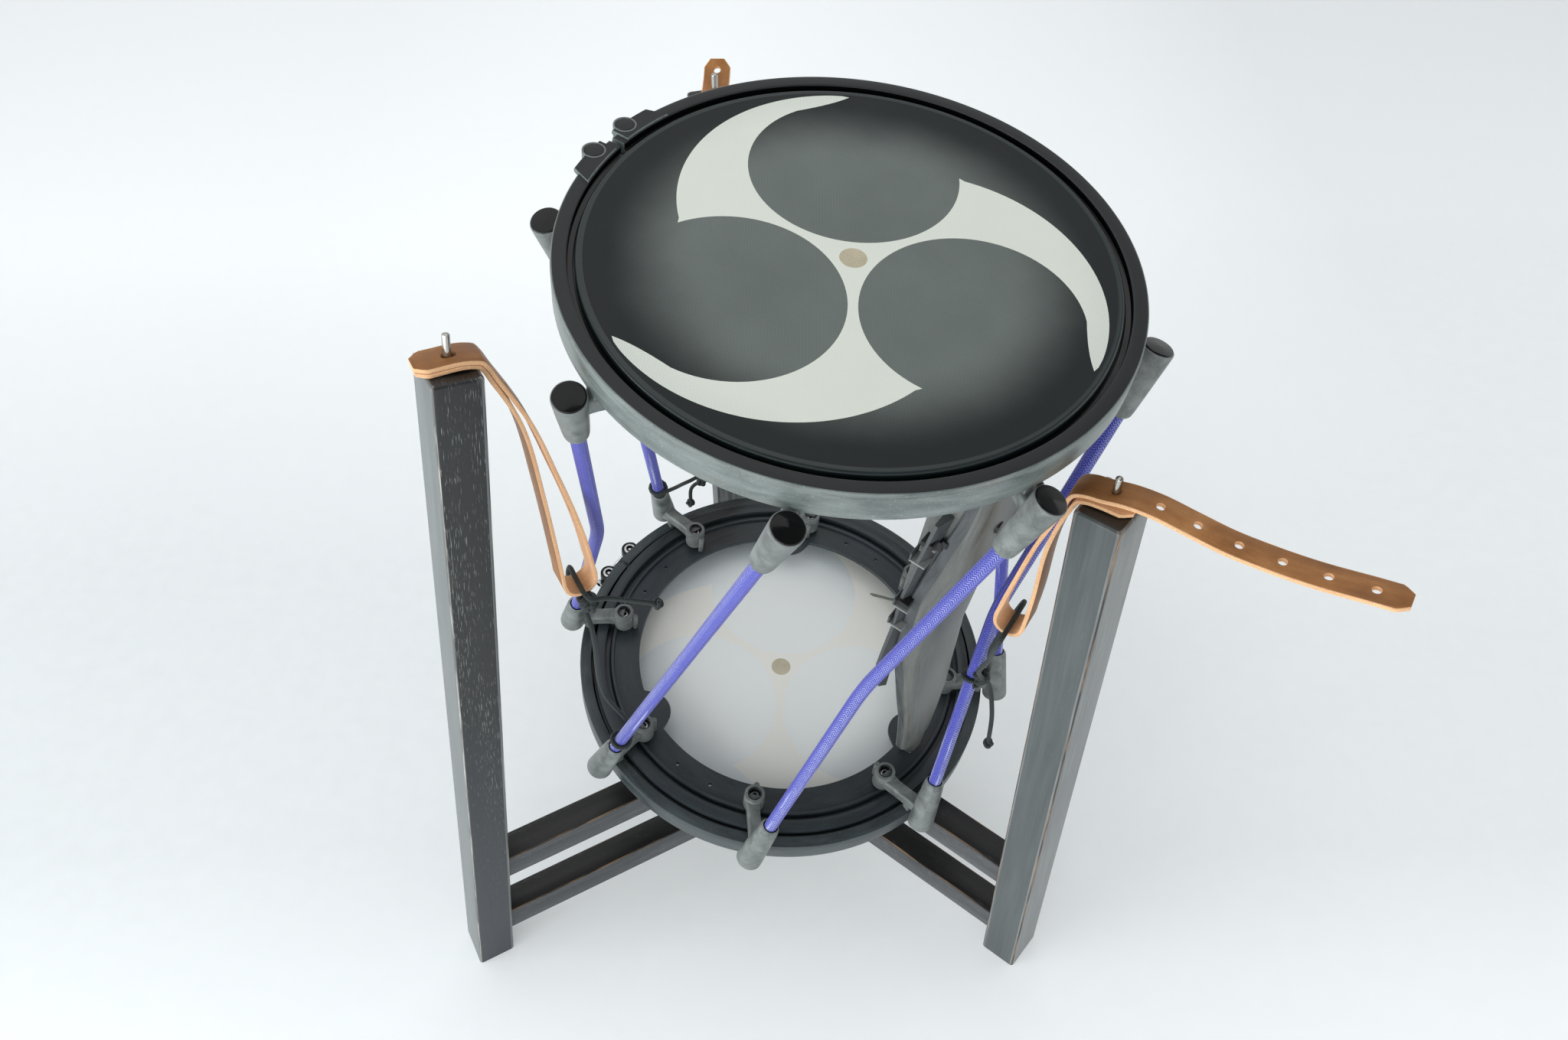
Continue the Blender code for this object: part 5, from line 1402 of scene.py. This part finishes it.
def module_trim(place):
    """Flange, hooks and ledges along the module's left side and the slotted rail along its right."""
    shape = Shape()
    flange = [(0.180, -0.054), (0.216, -0.068), (0.238, -0.070), (0.262, -0.066), (0.285, -0.0610),
              (0.330, -0.0600), (0.384, -0.0595), (0.386, -0.0640), (0.436, -0.0630)]
    rows = []
    for z, y in flange:
        x = 0.1225 if z < 0.34 else 0.1225 + (z - 0.34) * 0.11
        rows.append([Vector((x, y + 0.001, z)), Vector((x + 0.001, y, z)), Vector((x + 0.003, y, z)),
                     Vector((x + 0.0075, -0.049, z)), Vector((x + 0.006, -0.046, z)), Vector((x, -0.046, z))])
    verts = shape.grid(rows, paint=[0], flat=True)
    shape.cap(verts[0])
    shape.cap(verts[-1])
    for z, x in ((0.3815, 0.1215), (0.3170, 0.1190), (0.2905, 0.1190)):
        bar(shape, (x, x + 0.014), (-0.0625, -0.0500), (z - 0.0008, z + 0.0008), 2)
        bar(shape, (x, x + 0.0016), (-0.0625, -0.0500), (z, z + 0.009), 0)
    for z, x in ((0.4090, 0.1275), (0.3250, 0.1235)):
        bar(shape, (x - 0.001, x + 0.009), (-0.0630, -0.0520), (z - 0.0028, z + 0.0028), 1)
    bar(shape, (0.1345, 0.1405), (-0.0530, -0.0500), (0.3975, 0.4080), 1)
    bar(shape, (0.1390, 0.1440), (-0.0530, -0.0500), (0.4040, 0.4110), 1)
    bar(shape, (0.1310, 0.1370), (-0.0545, -0.0505), (0.3950, 0.3966), 2)
    bar(shape, (0.1505, 0.1530), (0.0475, 0.0495), (0.3500, 0.4230), 0)
    for z in (0.3510, 0.3630, 0.3720, 0.3950, 0.4040, 0.4210):
        bar(shape, (0.1500, 0.1530), (0.0380, 0.0490), (z - 0.0016, z + 0.0016), 1)
    add_piece("module_trim", shape.mesh("module_trim", [module_side, module_black, module_pale], 30.0), "drum",
              (), place)


def make_module():
    place = drum_matrix @ spin(module_azimuth)
    shape = Shape()
    rows = [module_section(*level[1:], level[0]) for level in fine_levels()]
    verts = shape.grid(rows, paint=[2, 2, 2] + [0] * 23 + [2, 2, 2])
    shape.cap(verts[0])
    shape.cap(verts[-1])
    housing = shape.mesh("module_housing", [module_grey, module_black, module_side], 40.0)
    bay = Shape()
    bay_rows = [[Vector((x, y, z)) for x, y in ((0.10, -0.030), (0.1455, -0.030), (0.1455, 0.030), (0.10, 0.030))]
                for z in (0.258, 0.320)]
    verts = bay.grid(bay_rows, paint=[1])
    bay.cap(verts[0], 1)
    bay.cap(verts[-1], 1)
    cutters = [bay.mesh("bay", [module_grey, module_black])]
    for name, offset, height, radius in (("volume_knob", knob_offset, 0.420, 0.0028), ("tone_knob", knob_offset, 0.385,
                                          0.0028), ("power_button", -knob_offset, 0.425, 0.0053)):
        front = module_front_at(height, abs(offset))
        forward = Matrix.Translation((front, offset, height)) @ Matrix.Rotation(pi / 2, 4, "Y")
        hole = Shape()
        hole.turned([(radius, -0.008, 1), (radius, 0.02, 1)], 24, forward, closed=False, fill=True)
        cutters.append(hole.mesh("hole", [module_grey, module_black]))
        control = Shape()
        if name == "power_button":
            outline = soften([(0.0050, -0.0062, 0, 0), (0.0050, 0.0020, 0.0008, 0), (0.00005, 0.0023, 0, 0)],
                             closed=False, steps=3)
            control.turned(outline, 32, forward, closed=False)
        else:
            rows = []
            for r, z in ((0.0025, -0.006), (0.0025, 0.0012), (knob_radius, 0.0012), (knob_radius * 0.99, 0.0020),
                         (knob_radius * 0.90, 0.0060), (knob_radius * 0.86, 0.0069), (knob_radius * 0.78, 0.0072),
                         (0.0004, 0.0071)):
                ridge = 0.0003 if r > knob_radius * 0.88 else 0.0
                rows.append([forward @ Vector(((r + ridge * cos(24 * a)) * cos(a), (r + ridge * cos(24 * a)) * sin(a), z))
                             for a in (2 * pi * k / 96 for k in range(96))])
            verts = control.grid(rows, paint=[0])
            control.cap(verts[-1])
        add_piece(name + "_cap", control.mesh(name, [module_black], 50.0), name, [name], place)
    housing = cut(housing, cutters)
    add_piece("module_shell", housing, "drum", ["module_housing"], place)
    module_trim(place)
    cover = Shape()
    levels = [(0.172, 0.143, 0.150, 0.040), (0.231, 0.115, 0.133, 0.046), (0.246, 0.115, 0.1285, 0.048),
              (0.325, 0.115, 0.1285, 0.048), (0.430, 0.117, 0.1441, 0.047), (0.470, 0.126, 0.1490, 0.044)]
    rows = []
    for z, back, front, half in levels:
        x = front - seat_gap
        outline = soften([(x, half, 0, 0), (back + 0.006, half, 0.002, 0), (back, half - 0.010, 0.004, 0),
                          (back, 0.010 - half, 0.004, 0), (back + 0.006, -half, 0.002, 0), (x, -half, 0, 0)], steps=3)
        rows.append([Vector((px, py, z)) for px, py, _ in outline])
    verts = cover.grid(rows, paint=[0])
    cover.cap(verts[0])
    cover.cap(verts[-1])
    add_piece("battery_lid", cover.mesh("battery_lid", [module_grey, module_black]), "battery_cover",
              ["battery_cover"], place)


def make_wire_loop():
    """The bent wire clip that stands out of the module's inner side."""
    shape = Shape()
    base = Vector((0.1235, -0.0560, 0.318))
    points = [(0.002, -0.001, 0.002), (-0.006, -0.0055, 0.0040), (-0.016, -0.0090, 0.0035), (-0.0225, -0.0100, 0.0012),
              (-0.0210, -0.0080, -0.0018), (-0.012, -0.0040, -0.0028), (0.002, 0.001, -0.002)]
    shape.tube(smooth_path([base + Vector(p) for p in points], 0.0012), 0.0007, 10)
    add_piece("module_wire_loop", shape.mesh("wire_loop", [wire_dark]), "drum", (),
              drum_matrix @ spin(module_azimuth))


shared_lug = lug_mesh()
shared_rod = rod_mesh()
for end_name, end_matrix, hoop_matrix in (("lower", Matrix(), Matrix()), ("upper", flip(),
                                          flip() @ spin(-2 * split_azimuth))):
    make_hoop(end_name + "_hoop", hoop_matrix)
    make_head(end_name + "_head", end_matrix, end_name == "upper")
    make_ring(end_name + "_ring", end_matrix)
    for lug_number in range(1, lug_count + 1):
        place_of_lug = drum_matrix @ spin(lug_azimuth(lug_number)) @ end_matrix
        lug_name = "%s_lug_%d" % (end_name, lug_number)
        add_piece(lug_name + "_cast", shared_lug, "drum", [lug_name], place_of_lug)
for rod_number in range(1, lug_count + 1):
    add_piece("rod_sleeve_%d" % rod_number, shared_rod, "drum", ["tension_rod_%d" % rod_number],
              drum_matrix @ spin(lug_azimuth(rod_number)))
make_module()
make_wire_loop()
for node_name in ("head_sensor_1", "head_sensor_2", "head_sensor_3", "battery_tray"):
    for material_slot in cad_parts[node_name].material_slots:
        material_slot.material = foam_black


# Floor, world and lights
def make_floor():
    f = Finish("floor_paper", tone(226, 232, 234), 0.9, Specular_IOR_Level=0.1)
    grain = f.noise(f.spot(), 40.0, 3.0)
    x, y, _ = f.parts(f.spot())
    glow = f.maths("ADD", f.span(y, 0.2, 1.1, 0.30, 0.44), f.span(y, -0.5, -0.1, 0.26, 0.0))
    glow = f.maths("ADD", glow, f.span(x, -0.9, 0.6, -0.08, 0.06))
    far = f.maths("MULTIPLY", f.span(y, 0.3, 1.0), f.span(x, -0.2, 0.9, 0.18, -0.10))
    glow = f.maths("ADD", glow, far)
    f.set(Base_Color=f.colours(grain, [(0.3, tone(216, 221, 223)), (0.7, tone(219, 224, 226))]),
          Emission_Strength=glow)
    f.shader.inputs["Emission Color"].default_value = (*tone(228, 231, 232), 1.0)
    floor_material = f.material
    shape = Shape()
    rows = []
    for radius in (0.001, 1.0, 3.0, 8.0):
        rows.append([Vector((radius * cos(2 * pi * k / 64), radius * sin(2 * pi * k / 64), -0.0002)) for k in range(64)])
    shape.grid(rows)
    ground = bpy.data.objects.new("floor", shape.mesh("floor", [floor_material]))
    bpy.context.scene.collection.objects.link(ground)


def make_world():
    """A pale room that is brightest near the horizon, with a plain backdrop for the camera."""
    world = bpy.data.worlds.new("studio")
    world.use_nodes = True
    bpy.context.scene.world = world
    tree = world.node_tree
    background = tree.nodes["Background"]
    background.inputs["Color"].default_value = (0.97, 0.99, 1.0, 1.0)
    direction = tree.nodes.new("ShaderNodeTexCoord")
    height = tree.nodes.new("ShaderNodeSeparateXYZ")
    tree.links.new(direction.outputs["Generated"], height.inputs[0])
    fall = tree.nodes.new("ShaderNodeMapRange")
    fall.interpolation_type = "SMOOTHSTEP"
    for key, value in (("From Min", 0.10), ("From Max", 0.85), ("To Min", 1.20), ("To Max", 0.20)):
        fall.inputs[key].default_value = value
    tree.links.new(height.outputs["Z"], fall.inputs["Value"])
    sideways = tree.nodes.new("ShaderNodeMapRange")
    for key, value in (("From Min", -1.0), ("From Max", 1.0), ("To Min", 1.30), ("To Max", 0.70)):
        sideways.inputs[key].default_value = value
    tree.links.new(height.outputs["X"], sideways.inputs["Value"])
    strength = tree.nodes.new("ShaderNodeMath")
    strength.operation = "MULTIPLY"
    tree.links.new(fall.outputs[0], strength.inputs[0])
    tree.links.new(sideways.outputs[0], strength.inputs[1])
    tree.links.new(strength.outputs[0], background.inputs["Strength"])
    shown = tree.nodes.new("ShaderNodeBackground")
    shown.inputs["Color"].default_value = (*tone(238, 241, 242), 1.0)
    shown.inputs["Strength"].default_value = 1.0
    rays = tree.nodes.new("ShaderNodeLightPath")
    choice = tree.nodes.new("ShaderNodeMixShader")
    tree.links.new(rays.outputs["Is Camera Ray"], choice.inputs[0])
    tree.links.new(background.outputs[0], choice.inputs[1])
    tree.links.new(shown.outputs[0], choice.inputs[2])
    tree.links.new(choice.outputs[0], tree.nodes["World Output"].inputs[0])


def add_light(name, spot, target, size, power, colour=(1.0, 1.0, 1.0)):
    data = bpy.data.lights.new(name, "AREA")
    data.shape = "RECTANGLE"
    data.size, data.size_y = size
    data.energy = power
    data.color = colour
    lamp = bpy.data.objects.new(name, data)
    bpy.context.scene.collection.objects.link(lamp)
    lamp.location = spot
    lamp.rotation_euler = (Vector(target) - Vector(spot)).to_track_quat("-Z", "Y").to_euler()


make_floor()
make_world()
add_light("top_light", (-0.2, 0.5, 2.6), (0, 0, 0.3), (2.4, 2.0), 14.0)
add_light("left_light", (-2.3, -1.0, 1.1), (0, 0, 0.4), (1.8, 1.8), 30.0, (0.98, 1.0, 1.0))
add_light("right_light", (2.4, 0.3, 1.0), (0, 0, 0.4), (1.8, 1.8), 7.0)
add_light("front_light", (-1.1, -2.4, 0.8), (0, 0, 0.4), (2.4, 1.4), 24.0)

view_settings = bpy.context.scene.view_settings
view_settings.view_transform = "Standard"
